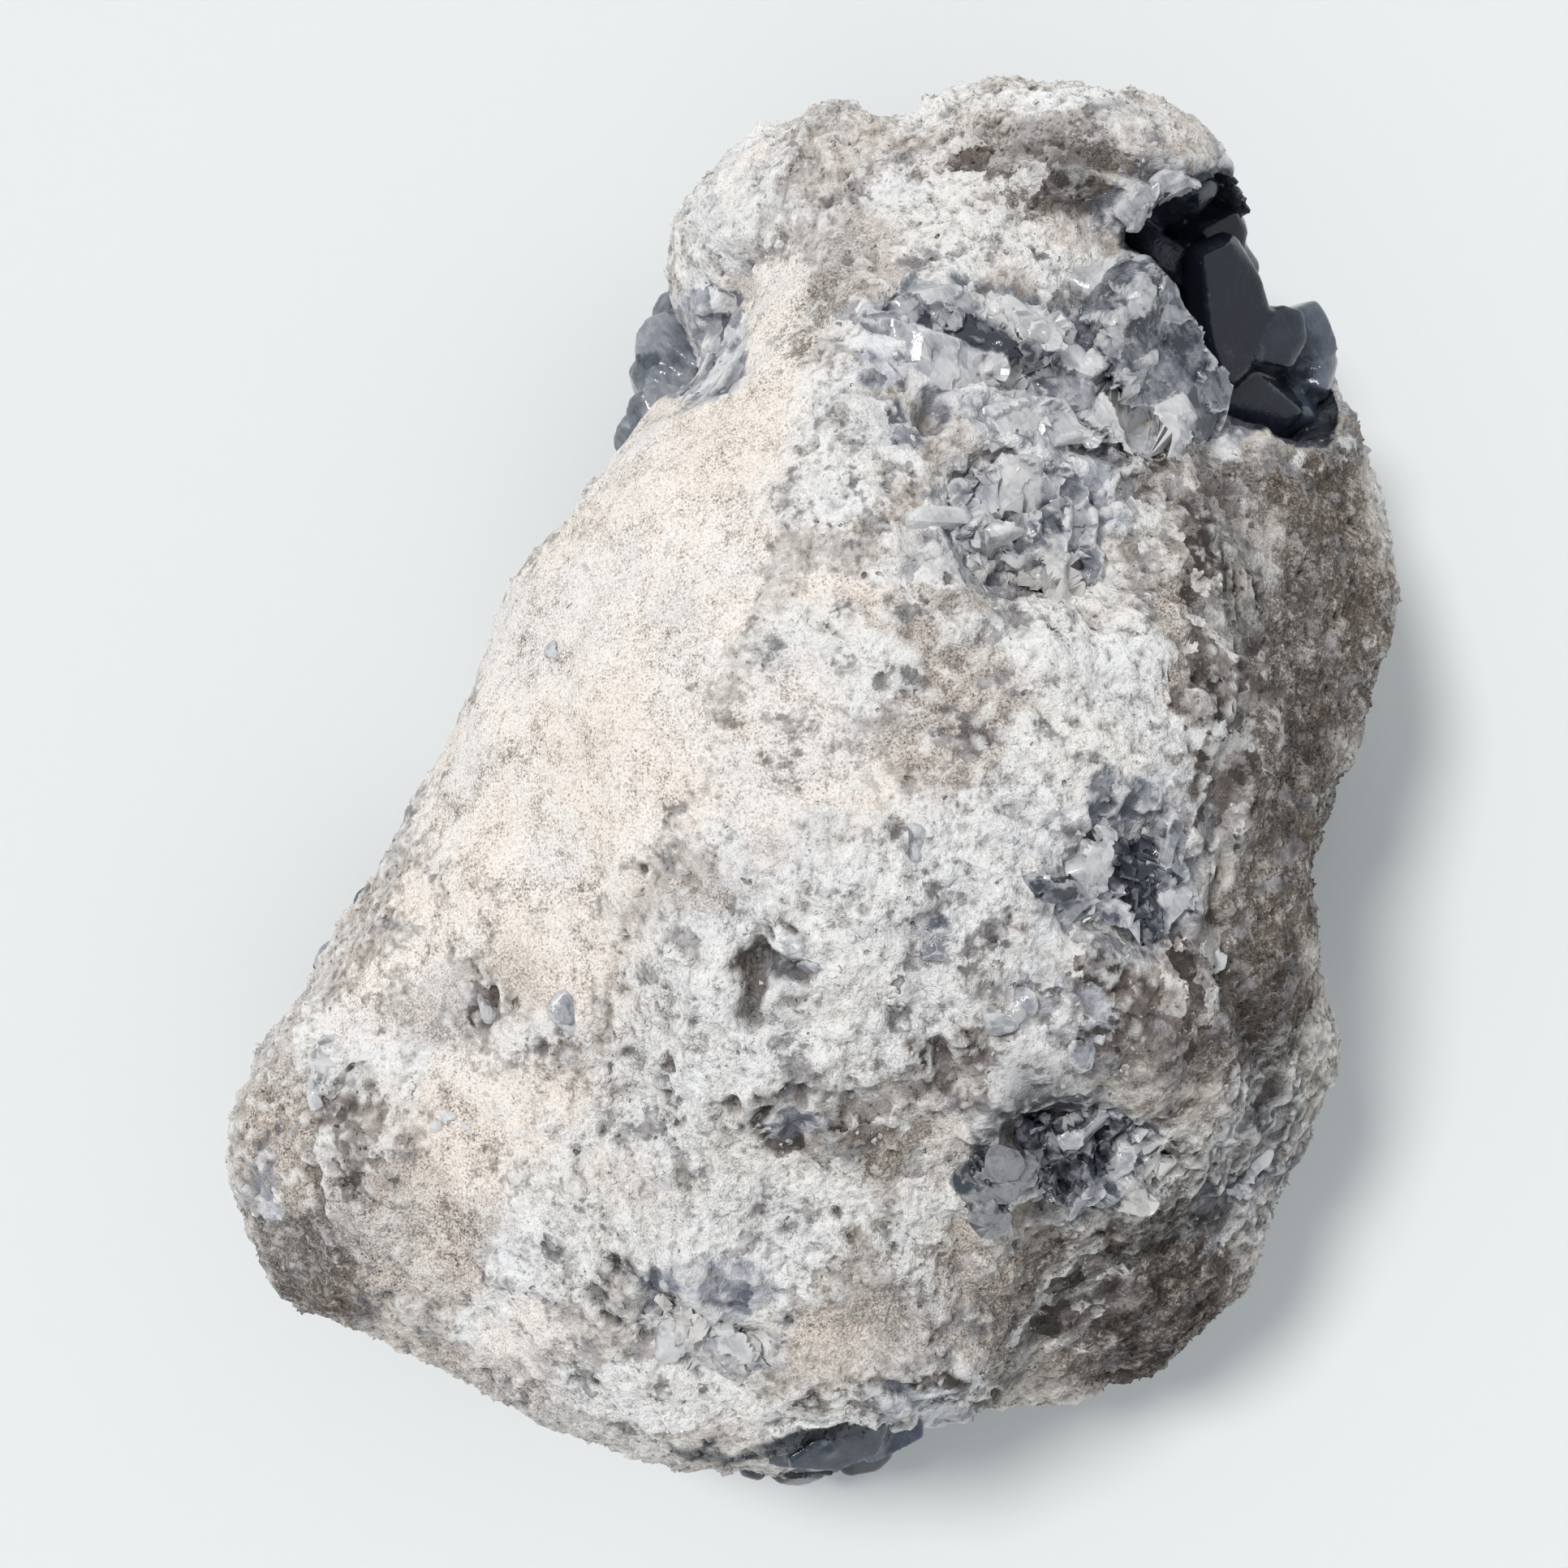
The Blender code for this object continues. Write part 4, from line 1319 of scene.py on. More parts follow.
@dataclass
class Rock:
    """The nodule's wall: one piece of limy rock.

    Attributes:
        voxel: first grid spacing in millimetres.
        smoothing: rounds that melt the solid's flat facets.
        triangles: most triangles of the finished mesh.
        mouth: the open hollow.
        broad: wide swells of the ground.
        lumps: lumps as wide as a finger.
        billow: rounded sugary lumps with creases between them.
        knots: small knots.
        thread: fibres, along a stretched place.
        crumble: roughness of the brown clay.
        facets: width, step and seed of the faces of glassy ground.
        pits: width, seed and stirring of the open pits.
    """

    voxel: float = 0.5
    smoothing: int = 120
    triangles: int = 194000
    mouth: Scoop = Scoop((45.5, 58.5, 45.0), (19.5, 11.0, 19.0), -50.0)
    broad: Swell = Swell(22.0, 79, 2, 1.1)
    lumps: Swell = Swell(8.5, 81, 3, 0.8)
    billow: Swell = Swell(4.8, 85, 4, 1.0, 0.6)
    knots: Swell = Swell(2.4, 91, 3, 0.42, 0.7)
    thread: Swell = Swell(1.6, 121, 2, 0.5)
    crumble: Swell = Swell(1.9, 141, 2, 0.3, 0.7)
    facets: tuple[float, float, int] = (4.6, 0.9, 111)
    pits: tuple[float, int, Swell] = (4.0, 131, Swell(2.0, 112, 1, 0.4))

    def build(self, node: bpy.types.Object) -> bpy.types.Object:
        """Makes the rock from its solid.

        Args:
            node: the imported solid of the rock.

        Returns:
            The finished rock.
        """
        bm = bmesh.new()
        weld_in(bm, node)
        piece = set_out("celestite_geode_rock", mesh_of(bm, "rock"))
        piece.data.materials.clear()
        self.mouth.carve(piece)
        regrid(piece, self.voxel)
        melt = piece.modifiers.new("melt facets", "SMOOTH")
        melt.factor = 0.5
        melt.iterations = self.smoothing
        settled(piece)
        mesh = piece.data
        points = points_of(mesh)
        normals = normals_of(mesh)
        marks = marks_at(points, normals)
        # The mouth's inner wall is painted near-black: painted shade.
        deep = smooth_step(1.14, 1.0, self.mouth.depth_in(points))
        marks[Mark.DEEP] = np.maximum(deep, marks[Mark.DEEP] * smooth_step(0.0, 0.3, normals[:, 2]))
        for mark in (Mark.SAND, Mark.CHALK, Mark.TAN, Mark.SMOKE, Mark.BROWN):
            marks[mark] = marks[mark] * (1 - deep)
        relief, hollow = self.relief(points, normals, marks)
        lift = smooth_step(0.0, 1.6, points[:, 2])
        move_points(mesh, points + normals * (relief * lift)[:, None])
        proud = standing_out(mesh, 10)
        # Recesses are marked for darkening: painted shade.
        cavity = smooth_step(0.03, 0.4, -proud) * (1 - 0.7 * marks[Mark.GLASS])
        cavity *= 1 - 0.6 * marks[Mark.FIBRE]
        marks[Mark.HOLLOW] = np.maximum(hollow, 0.8 * cavity)
        marks[Mark.CREST] = smooth_step(0.0, 0.3, proud) * (1 - marks[Mark.DEEP])
        marks[Mark.CREST] *= 1 - 0.8 * marks[Mark.BROWN]
        width, _, seed = self.facets
        uneven = points + 0.83 * waves(points, 0.5 * width, seed)[:, None]
        marks[Mark.SHADE] = grains(uneven, width, seed).luck
        marks[Mark.ROUGH] = (1 - 0.9 * marks[Mark.SAND]) * (1 - marks[Mark.GLASS]) * (1 - deep)
        for mark, values in marks.items():
            store(mesh, mark.value, values)
        mesh.update()
        thin(piece, min(1.0, self.triangles / triangle_count(mesh)))
        piece.data.shade_smooth()
        piece.data.materials.append(material_of(ROCK))
        return piece

    def relief(
        self, points: np.ndarray, normals: np.ndarray, marks: dict[Mark, np.ndarray]
    ) -> tuple[np.ndarray, np.ndarray]:
        """Works out lumps, facets, fibres and pits.

        Args:
            points: places in millimetres, one row each.
            normals: outward directions, one row each.
            marks: the kinds of ground.

        Returns:
            How far each point moves out in millimetres, and how deep it sits from 0 to 1.
        """
        sand, chalk = marks[Mark.SAND], marks[Mark.CHALK]
        brown, fibre = marks[Mark.BROWN], marks[Mark.FIBRE]
        glass = np.maximum(marks[Mark.GLASS], marks[Mark.DEEP])
        glass = glass * smooth_step(0.0, 0.4, normals[:, 2])
        plain = (1 - 0.9 * sand) * (1 - 0.85 * marks[Mark.DEEP])
        billow = np.abs(self.billow.at(points)) * 1.1 - 0.33
        knots = self.knots.at(points)
        streak = points * np.array((1.0, 0.2, 0.6)) + points[:, :1] * 0.12
        width, seed, stirring = self.pits
        pits = grains(points + stirring.at(points)[:, None], width, seed)
        open_pit = (pits.luck > 0.76 - 0.4 * brown) & (sand < 0.5)
        pit = smooth_step(1.0, 0.4, pits.near / (0.14 + 0.14 * pits.luck)) * open_pit
        pit = pit * (1 - glass)
        relief = self.broad.at(points) + self.lumps.at(points) * (0.3 + 0.7 * plain) + knots * plain
        relief += billow * plain * (0.5 + 0.5 * chalk) * (1 - 0.6 * glass)
        relief += cleaved(points, normals, *self.facets)[0] * glass
        relief += self.thread.at(streak) * fibre * (1 - glass)
        relief += self.crumble.at(points) * brown
        relief -= 0.5 * sand + 0.9 * pit
        # Sunken places and pits are darkened in the material: painted shade, partly clay.
        sunk = np.clip(-(knots + billow * 0.5) * plain, 0.0, 1.0)
        hollow = pit + 0.4 * sunk * (1 - chalk * 0.5)
        dent, dirt_and_shade = dents_at(points, normals)
        hollow = np.clip(hollow, 0, 1) * (1 - 0.8 * glass)
        return relief - dent, np.maximum(hollow, dirt_and_shade)


def dents_at(points: np.ndarray, normals: np.ndarray) -> tuple[np.ndarray, np.ndarray]:
    """Works out the holes, grooves and rises that are listed.

    Args:
        points: places in millimetres, one row each.
        normals: outward directions, one row each.

    Returns:
        The depth in millimetres, and how much each point is darkened from 0 to 1: clay, and painted
        shade.
    """
    x, y = picture_place(points)
    x = x + 7 * waves(points, 3.0, 211, 2)
    y = y + 7 * waves(points, 3.0, 221, 2)
    seen = smooth_step(-0.1, 0.3, normals[:, 2])
    depth = np.zeros(len(points))
    dirt_and_shade = np.zeros(len(points))
    for dent in DENTS:
        far = np.full(len(points), 1e6)
        ends = dent.line if len(dent.line) > 1 else dent.line * 2
        for (ax, ay), (bx, by) in itertools.pairwise(ends):
            length = max((bx - ax) ** 2 + (by - ay) ** 2, 1.0)
            part = np.clip(((x - ax) * (bx - ax) + (y - ay) * (by - ay)) / length, 0, 1)
            gap = np.hypot(x - ax - part * (bx - ax), y - ay - part * (by - ay))
            far = np.minimum(far, gap)
        share = smooth_step(1.25, 0.35, far / dent.half) * seen
        depth = depth + share * dent.depth
        dirt_and_shade = np.maximum(dirt_and_shade, share * dent.dirt_and_shade)
    return depth, dirt_and_shade


# How the grounds lie where the picture doesn't show them: waves and a number that is added.
UNSEEN: dict[Mark, tuple[Swell, float]] = {
    Mark.SAND: (Swell(26.0, 31, 2, 1.2), -0.1),
    Mark.CHALK: (Swell(20.0, 41, 2, 1.3), 0.1),
    Mark.GLASS: (Swell(17.0, 51, 2, 1.5), -0.4),
    Mark.TAN: (Swell(18.0, 66, 2, 1.2), 0.0),
    Mark.SMOKE: (Swell(16.0, 68, 2, 1.2), 0.0),
    Mark.BROWN: (Swell(22.0, 61, 2, 1.1), 0.35),
    Mark.FIBRE: (Swell(24.0, 71), 0.1),
    Mark.SLANT: (Swell(24.0, 73), -0.1),
    Mark.GLOOM: (Swell(15.0, 76, 1, 0.6), 0.0),
}


def marks_at(points: np.ndarray, normals: np.ndarray) -> dict[Mark, np.ndarray]:
    """Says which kinds of ground each point has.

    Args:
        points: places in millimetres, one row each.
        normals: outward directions, one row each.

    Returns:
        For each kind of ground, 0 to 1 for each point.
    """
    x, y = picture_place(points)
    x = x + 24 * waves(points, 9.0, 11, 2) + 9 * waves(points, 2.5, 12, 2)
    y = y + 24 * waves(points, 9.0, 21, 2) + 9 * waves(points, 2.5, 22, 2)
    found = {mark: np.zeros(len(points)) for mark in (*UNSEEN, Mark.DEEP)}
    for patch in PATCHES:
        turn = math.radians(patch.turn)
        side = (x - patch.x) * math.cos(turn) + (y - patch.y) * math.sin(turn)
        length = (y - patch.y) * math.cos(turn) - (x - patch.x) * math.sin(turn)
        far = np.sqrt((side / patch.across) ** 2 + (length / patch.along) ** 2)
        value = patch.amount * smooth_step(1.5, 0.6, far)
        found[patch.mark] = np.maximum(found[patch.mark], value)
    seen = smooth_step(-0.3, 0.0, normals[:, 2])
    tatters = waves(points, 5.0, 15, 4, 0.6)
    for mark, (swell, more) in UNSEEN.items():
        unseen = np.clip((swell.at(points) + more) * 1.3, 0.0, 1.0)
        mixed = found[mark] * seen + unseen * (1 - seen)
        if mark is not Mark.GLOOM:
            mixed = np.clip(mixed + 0.25 * tatters * (mixed > 0.02), 0.0, 1.0)
        found[mark] = mixed
    return found


def any_way(chance: random.Random) -> Vector:
    """Picks a unit direction."""
    return Vector([chance.gauss(0, 1) for _ in range(3)]).normalized()


def break_off(bm: bmesh.types.BMesh, way: Vector, share: float) -> None:
    """Breaks one corner off a closed piece with a flat cut.

    Args:
        bm: the piece.
        way: unit direction towards the corner.
        share: how far out the cut is, against the piece's reach that way.
    """
    reach = max(vert.co.dot(way) for vert in bm.verts)
    result = bmesh.ops.bisect_plane(
        bm,
        geom=bm.verts[:] + bm.edges[:] + bm.faces[:],
        plane_co=way * reach * share,
        plane_no=way,
        clear_outer=True,
    )
    edges = [part for part in result["geom_cut"] if isinstance(part, bmesh.types.BMEdge)]
    bmesh.ops.contextual_create(bm, geom=edges)


def cut_block(bm: bmesh.types.BMesh, size: Vector, cuts: int, chance: random.Random) -> None:
    """Makes a block and breaks its corners off with flat cuts.

    Args:
        bm: the empty mesh that gets it.
        size: whole sizes of the block.
        cuts: how many corners are broken off.
        chance: the random source.
    """
    bmesh.ops.create_cube(bm, size=1.0, matrix=Matrix.Diagonal(size).to_4x4())
    for _ in range(cuts):
        way = any_way(chance)
        break_off(bm, way, chance.uniform(0.5, 0.8))
    bmesh.ops.recalc_face_normals(bm, faces=bm.faces)


def grain_hull(bm: bmesh.types.BMesh, size: Vector, corners: int, chance: random.Random) -> None:
    """Makes a small grain as the hull of a few corners.

    Args:
        bm: the empty mesh that gets it.
        size: whole sizes of the grain.
        corners: how many corners it is made from.
        chance: the random source.
    """
    for _ in range(corners):
        bm.verts.new(any_way(chance) * size * 0.5)
    hull = bmesh.ops.convex_hull(bm, input=bm.verts)
    loose = [part for part in hull["geom_interior"] if isinstance(part, bmesh.types.BMVert)]
    bmesh.ops.delete(bm, geom=loose, context="VERTS")
    bmesh.ops.recalc_face_normals(bm, faces=bm.faces)
    for face in bm.faces:
        face.smooth = True


def scatter_tree() -> bpy.types.NodeTree:
    """Builds the node tree that strews chips over marked ground.

    Returns:
        The tree, whose inputs are named below.
    """
    tree = bpy.data.node_groups.new("strew chips", "GeometryNodeTree")
    for name, kind in (
        ("Ground", "Geometry"),
        ("Chips", "Collection"),
        ("Mark", "String"),
        ("Per Square Metre", "Float"),
        ("Smallest", "Float"),
        ("Largest", "Float"),
        ("Rarity Of Large", "Float"),
        ("Tilt", "Float"),
        ("Spin", "Float"),
        ("Sink", "Float"),
        ("Seed", "Int"),
        ("Finish", "Material"),
    ):
        tree.interface.new_socket(name, in_out="INPUT", socket_type=f"NodeSocket{kind}")
    tree.interface.new_socket("Chips", in_out="OUTPUT", socket_type="NodeSocketGeometry")
    nodes = Nodes(tree)
    given = nodes.add("NodeGroupInput")
    mark = {"Name": given["Mark"]}
    share = nodes.add("GeometryNodeInputNamedAttribute", mark, data_type="FLOAT")[0]
    share = nodes.add("ShaderNodeMath", {0: share, 1: 1.5}, operation="POWER", use_clamp=True)[0]
    density = nodes.maths("MULTIPLY", share, given["Per Square Metre"])
    links = {"Mesh": given["Ground"], "Density": density, "Seed": given["Seed"]}
    spots = nodes.add("GeometryNodeDistributePointsOnFaces", links)
    luck = nodes.add("FunctionNodeRandomValue", {"Seed": given["Seed"]}, data_type="FLOAT")[1]
    rare = nodes.maths("POWER", luck, given["Rarity Of Large"])
    size = nodes.ranged(rare, start=given["Smallest"], end=given["Largest"])
    links = {0: (-1.0, -1.0, -1.0), 1: (1.0, 1.0, 1.0), "Seed": 7}
    lean = nodes.add("FunctionNodeRandomValue", links, data_type="FLOAT_VECTOR")[0]
    links = {0: given["Tilt"], 1: given["Tilt"], 2: given["Spin"]}
    lean = nodes.vectors("MULTIPLY", lean, nodes.add("ShaderNodeCombineXYZ", links)[0])
    lean = nodes.add("FunctionNodeEulerToRotation", {0: lean})[0]
    upright = nodes.add(
        "FunctionNodeAxesToRotation",
        {0: spots["Normal"], 1: (0.25, 1.0, 0.0)},
        primary_axis="Z",
        secondary_axis="X",
    )[0]
    turn = nodes.add("FunctionNodeRotateRotation", {0: upright, 1: lean}, rotation_space="LOCAL")[0]
    links = {"Collection": given["Chips"], "Separate Children": True, "Reset Children": True}
    shelf = nodes.add("GeometryNodeCollectionInfo", links)[0]
    links = {4: 0, 5: 99, "Seed": 3}
    which = nodes.add("FunctionNodeRandomValue", links, data_type="INT")[2]
    links = {"Points": spots["Points"], "Instance": shelf, "Pick Instance": True}
    links |= {"Instance Index": which, "Rotation": turn, "Scale": size}
    placed = nodes.add("GeometryNodeInstanceOnPoints", links)[0]
    drop = nodes.add("ShaderNodeCombineXYZ", {2: nodes.maths("MULTIPLY", given["Sink"], -MM)})[0]
    links = {"Instances": placed, "Translation": drop, "Local Space": True}
    placed = nodes.add("GeometryNodeTranslateInstances", links)[0]
    shade = nodes.add("FunctionNodeRandomValue", {"Seed": 11}, data_type="FLOAT")[1]
    placed = nodes.add(
        "GeometryNodeStoreNamedAttribute",
        {"Geometry": placed, "Name": Mark.SHADE.value, "Value": shade},
        data_type="FLOAT",
        domain="INSTANCE",
    )[0]
    real = nodes.add("GeometryNodeRealizeInstances", {"Geometry": placed})[0]
    links = {"Geometry": real, "Material": given["Finish"]}
    nodes.add("NodeGroupOutput", {0: nodes.add("GeometryNodeSetMaterial", links)[0]})
    return tree


@dataclass
class Strew:
    """Chips of one kind, strewn over one kind of ground.

    Attributes:
        name: name of the piece.
        mark: kind of ground where they lie.
        slot: the material slot; not used.
        finish: the chips' material.
        dense: chips on a square centimetre of full ground.
        sizes: smallest and largest chip in millimetres.
        rarity: how rare the large ones are.
        proportions: lengths along X, Y and Z for a size of one millimetre.
        cuts: corners broken off each block; none for round grains.
        corners: corners of each round grain.
        tilt: how far chips lean, in degrees.
        spin: how far chips turn from the fibres' direction, in degrees.
        sink: how far their middles lie under the ground, as a share of their size.
        kinds: how many different chips there are.
    """

    name: str
    mark: Mark
    slot: str
    finish: Celestite | LimyRock
    dense: float
    sizes: tuple[float, float]
    rarity: float
    proportions: Triple
    cuts: int = 0
    corners: int = 8
    tilt: float = 60.0
    spin: float = 180.0
    sink: float = 0.1
    kinds: int = 7

    def shelf(self) -> bpy.types.Collection:
        """Makes the different chips to pick from.

        Returns:
            A collection that isn't linked to the scene.
        """
        shelf = bpy.data.collections.new(self.name + "_shelf")
        chance = random.Random(self.name)
        for number in range(self.kinds):
            bm = bmesh.new()
            size = Vector([side * chance.uniform(0.75, 1.25) * MM for side in self.proportions])
            if self.cuts:
                cut_block(bm, size, self.cuts, chance)
            else:
                grain_hull(bm, size, self.corners, chance)
            mesh = mesh_of(bm, f"{self.name}_{number}")
            shelf.objects.link(bpy.data.objects.new(mesh.name, mesh))
        return shelf

    def build(
        self, ground: bpy.types.Object, tree: bpy.types.NodeTree, seed: int
    ) -> bpy.types.Object:
        """Strews the chips.

        Args:
            ground: the rock, with its marks.
            tree: the node tree that strews chips.
            seed: fixed seed of the places.

        Returns:
            The chips as one plain mesh.
        """
        piece = set_out(self.name, ground.data.copy())
        shelf = self.shelf()
        finish = material_of(self.finish)
        modifier = piece.modifiers.new("strew", "NODES")
        modifier.node_group = tree
        values = {
            "Chips": shelf,
            "Mark": self.mark.value,
            "Per Square Metre": self.dense * 10000.0,
            "Smallest": self.sizes[0],
            "Largest": self.sizes[1],
            "Rarity Of Large": self.rarity,
            "Tilt": math.radians(self.tilt),
            "Spin": math.radians(self.spin),
            "Sink": self.sink,
            "Seed": seed,
            "Finish": finish,
        }
        for socket in tree.interface.items_tree:
            if socket.in_out == "INPUT" and socket.name in values:
                modifier[socket.identifier] = values[socket.name]
        settled(piece)
        if finish.name not in piece.data.materials:
            piece.data.materials.append(finish)
        move_points(piece.data, points_of(piece.data))
        for model in list(shelf.objects):
            bpy.data.meshes.remove(model.data)
        bpy.data.collections.remove(shelf)
        return piece


OWN_FACTS = (Mark.SHADE.value, Mark.GLOOM.value, "own")


@dataclass(frozen=True)
class Crystal:
    """One crystal that is placed on the view from above.

    Attributes:
        x: pixels from the left of the picture.
        y: pixels from the top of the picture.
        length: its length in millimetres.
        width: its width in millimetres.
        height: its height in millimetres.
        turn: clockwise turn of its length from the picture's upright, in degrees.
        lean: how far its far end is lifted, in degrees.
        point: width of its far end against its near end.
        shade: 0 for a dark one to 1 for a pale one.
        gloom: how dark and clear it is; in the hollow and the shaded pockets partly painted shade.
    """

    x: float
    y: float
    length: float
    width: float
    height: float
    turn: float
    lean: float = 0.0
    point: float = 0.6
    shade: float = 0.5
    gloom: float = 0.0

    def add_to(self, whole: bmesh.types.BMesh, grounds: list[BVHTree], sink: float) -> None:
        """Adds the crystal to a piece's mesh.

        Args:
            whole: the piece's mesh, with layers for the shade, the gloom and its owner.
            grounds: the surfaces that can carry it.
            sink: share of the crystal's height that is in the ground.
        """
        eye = Vector(CAMERA_PLACE) * MM
        hits = [ground.ray_cast(eye, sight_line(self.x, self.y)) for ground in grounds]
        hits = [hit for hit in hits if hit[0] is not None]
        if not hits:
            LOG.warning("nothing under the crystal at %s, %s", self.x, self.y)
            return
        spot, normal, _, _ = min(hits, key=lambda hit: hit[3])
        chance = random.Random(f"{self.x} {self.y}")
        bm = bmesh.new()
        size = Vector((self.width, self.length, self.height)) * MM
        bmesh.ops.create_cube(bm, size=1.0, matrix=Matrix.Diagonal(size).to_4x4())
        for vert in bm.verts:
            if vert.co.y > 0:
                vert.co.x *= self.point
                vert.co.z *= 0.5 + 0.5 * self.point
        for _ in range(5):
            way = Vector([chance.gauss(0, 1), chance.gauss(0, 0.6), abs(chance.gauss(0, 1))])
            break_off(bm, way.normalized(), chance.uniform(0.68, 0.88))
        bmesh.ops.recalc_face_normals(bm, faces=bm.faces)
        up = (normal + Vector((0.0, 0.0, 0.8))).normalized()
        turn = math.radians(self.turn)
        along = Vector((math.sin(turn), math.cos(turn), 0.0))
        along = (along - up * along.dot(up)).normalized()
        frame = Matrix((along.cross(up), along, up)).transposed().to_4x4()
        place = Matrix.Translation(spot + up * size.z * (0.5 - sink))
        bm.transform(place @ frame @ Matrix.Rotation(math.radians(self.lean), 4, "X"))
        for name in OWN_FACTS:
            bm.verts.layers.float.new(name)
        for vert in bm.verts:
            for name, value in zip(OWN_FACTS, (self.shade, self.gloom, 1.0)):
                vert[bm.verts.layers.float[name]] = value
        model = mesh_of(bm, "crystal")
        whole.from_mesh(model)
        bpy.data.meshes.remove(model)


def crystals(*rows: tuple[float, ...]) -> tuple[Crystal, ...]:
    """Reads rows of x, y, length, width, height, turn, lean, point, shade and gloom."""
    return tuple(Crystal(*row) for row in rows)


@dataclass
class CrystalMass:
    """Crystals that grew together into one broken mass.

    Attributes:
        name: name of the solid, or of the piece where there is none.
        slot: its material slot; not used.
        finish: the crystals' material.
        crystals: large crystals that are placed one by one and belong to the mass.
        stand: how far the mass stands out of the rock, against the solid.
        sink: share of each placed crystal's height that is in the rock.
        voxel: grid spacing in millimetres.
        melt: rounds that even the solid out before it is broken.
        soft: how much of that the placed crystals follow.
        facets: widths of the broken faces and the steps between them in millimetres, and how
            much of them the placed crystals are spared.
        thinned: share of the grid's triangles that is kept.
        crisp: edges sharper than this, in degrees, look sharp.
    """

    name: str
    slot: str
    finish: Celestite
    crystals: tuple[Crystal, ...] = ()
    stand: float = 0.6
    sink: float = 0.68
    voxel: float = 0.35
    melt: int = 80
    soft: float = 0.02
    facets: tuple[Triple, ...] = ((9.0, 0.9, 0.95), (4.5, 0.16, 0.3))
    thinned: float = 0.6
    crisp: float = 24.0

    def build(self, node: bpy.types.Object | None, ground: BVHTree) -> bpy.types.Object:
        """Melts the crystals together and breaks their surface.

        Args:
            node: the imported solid, where there is one.
            ground: the rock's surface.

        Returns:
            The finished mass.
        """
        bm = bmesh.new()
        for name in OWN_FACTS:
            bm.verts.layers.float.new(name)
        grounds = [ground]
        if node is not None:
            weld_in(bm, node)
            for vert in bm.verts:
                near, normal, _, _ = ground.find_nearest(vert.co)
                if (vert.co - near).dot(normal) > 0:
                    vert.co = near + (vert.co - near) * self.stand
            grounds.append(BVHTree.FromBMesh(bm))
        for crystal in self.crystals:
            crystal.add_to(bm, grounds, self.sink)
        model = BVHTree.FromBMesh(bm)
        bm.faces.ensure_lookup_table()
        known = {
            name: [face.verts[0][bm.verts.layers.float[name]] for face in bm.faces]
            for name in OWN_FACTS
        }
        piece = set_out(self.name + "_dressed", mesh_of(bm, self.name))
        piece.data.materials.clear()
        regrid(piece, self.voxel)
        settled(piece)
        self.dress(piece, model, known, ground)
        return piece

    def dress(
        self,
        piece: bpy.types.Object,
        model: BVHTree,
        known: dict[str, list[float]],
        ground: BVHTree,
    ) -> None:
        """Breaks the mass's surface into flat faces and stores each point's tone.

        Args:
            piece: the mass on its even grid.
            model: the crystals that it was made from.
            known: the shade, the gloom and the owner of each of the model's faces.
            ground: the rock's surface.
        """
        mesh = piece.data
        nearest = [model.find_nearest(vert.co)[2] for vert in mesh.vertices]
        shade, gloom, own = (np.array(known[name])[nearest] for name in OWN_FACTS)
        move_points(mesh, levelled(mesh, 2))
        move_points(mesh, levelled(mesh, self.melt, 1 - own * (1 - self.soft)))
        tone = np.zeros(len(own))
        for seed, (width, step, spared) in enumerate(self.facets, start=300):
            points, normals = points_of(mesh), normals_of(mesh)
            rise, luck = cleaved(points, normals, width, step, seed)
            tone += luck / len(self.facets)
            move_points(mesh, points + normals * (rise * (1 - own * spared))[:, None])
        points = points_of(mesh)
        marks = marks_at(points, np.tile((0.0, 0.0, 1.0), (len(points), 1)))
        if self.stand < 1:
            gloom = self.settle_in(mesh, gloom, np.maximum(marks[Mark.GLASS], own), ground)
        if not self.facets:
            tone = grains(points, 6.0, 300).luck
        chalk = marks[Mark.CHALK] * (1 - 0.7 * own) * (self.finish is BROKEN)
        store(mesh, Mark.SHADE.value, np.where(own > 0.5, 0.75 * shade + 0.25 * tone, tone))
        store(mesh, Mark.GLOOM.value, np.maximum(gloom, marks[Mark.GLOOM] * (1 - own)))
        store(mesh, Mark.CREST.value, smooth_step(0.02, 0.16, standing_out(mesh, 5)))
        store(mesh, Mark.CHALK.value, chalk)
        thin(piece, self.thinned)
        piece.data.shade_smooth()
        piece.data.set_sharp_from_angle(angle=math.radians(self.crisp))
        piece.data.materials.append(material_of(self.finish))

    def settle_in(
        self, mesh: bpy.types.Mesh, gloom: np.ndarray, bare: np.ndarray, ground: BVHTree
    ) -> np.ndarray:
        """Sinks the dents into the mass, and the mass into the rock where it isn't bare.

        Args:
            mesh: the mass.
            gloom: how dark each point is.
            bare: how bare each point is.
            ground: the rock's surface.

        Returns:
            How dark each point is with the dents' darkening, which is partly painted shade.
        """
        points = points_of(mesh)
        depth, dirt_and_shade = dents_at(points, normals_of(mesh))
        points -= normals_of(mesh) * depth[:, None]
        move_points(mesh, points)
        cover = smooth_step(0.15, 0.6, bare)
        for number, vert in enumerate(mesh.vertices):
            near, normal, _, _ = ground.find_nearest(vert.co)
            if cover[number] < 1 and (vert.co - near).dot(normal) > 0:
                low = near - normal * (0.6 * MM)
                points[number] = low.lerp(vert.co, float(cover[number])) / MM
        move_points(mesh, points)
        return np.maximum(gloom, dirt_and_shade)


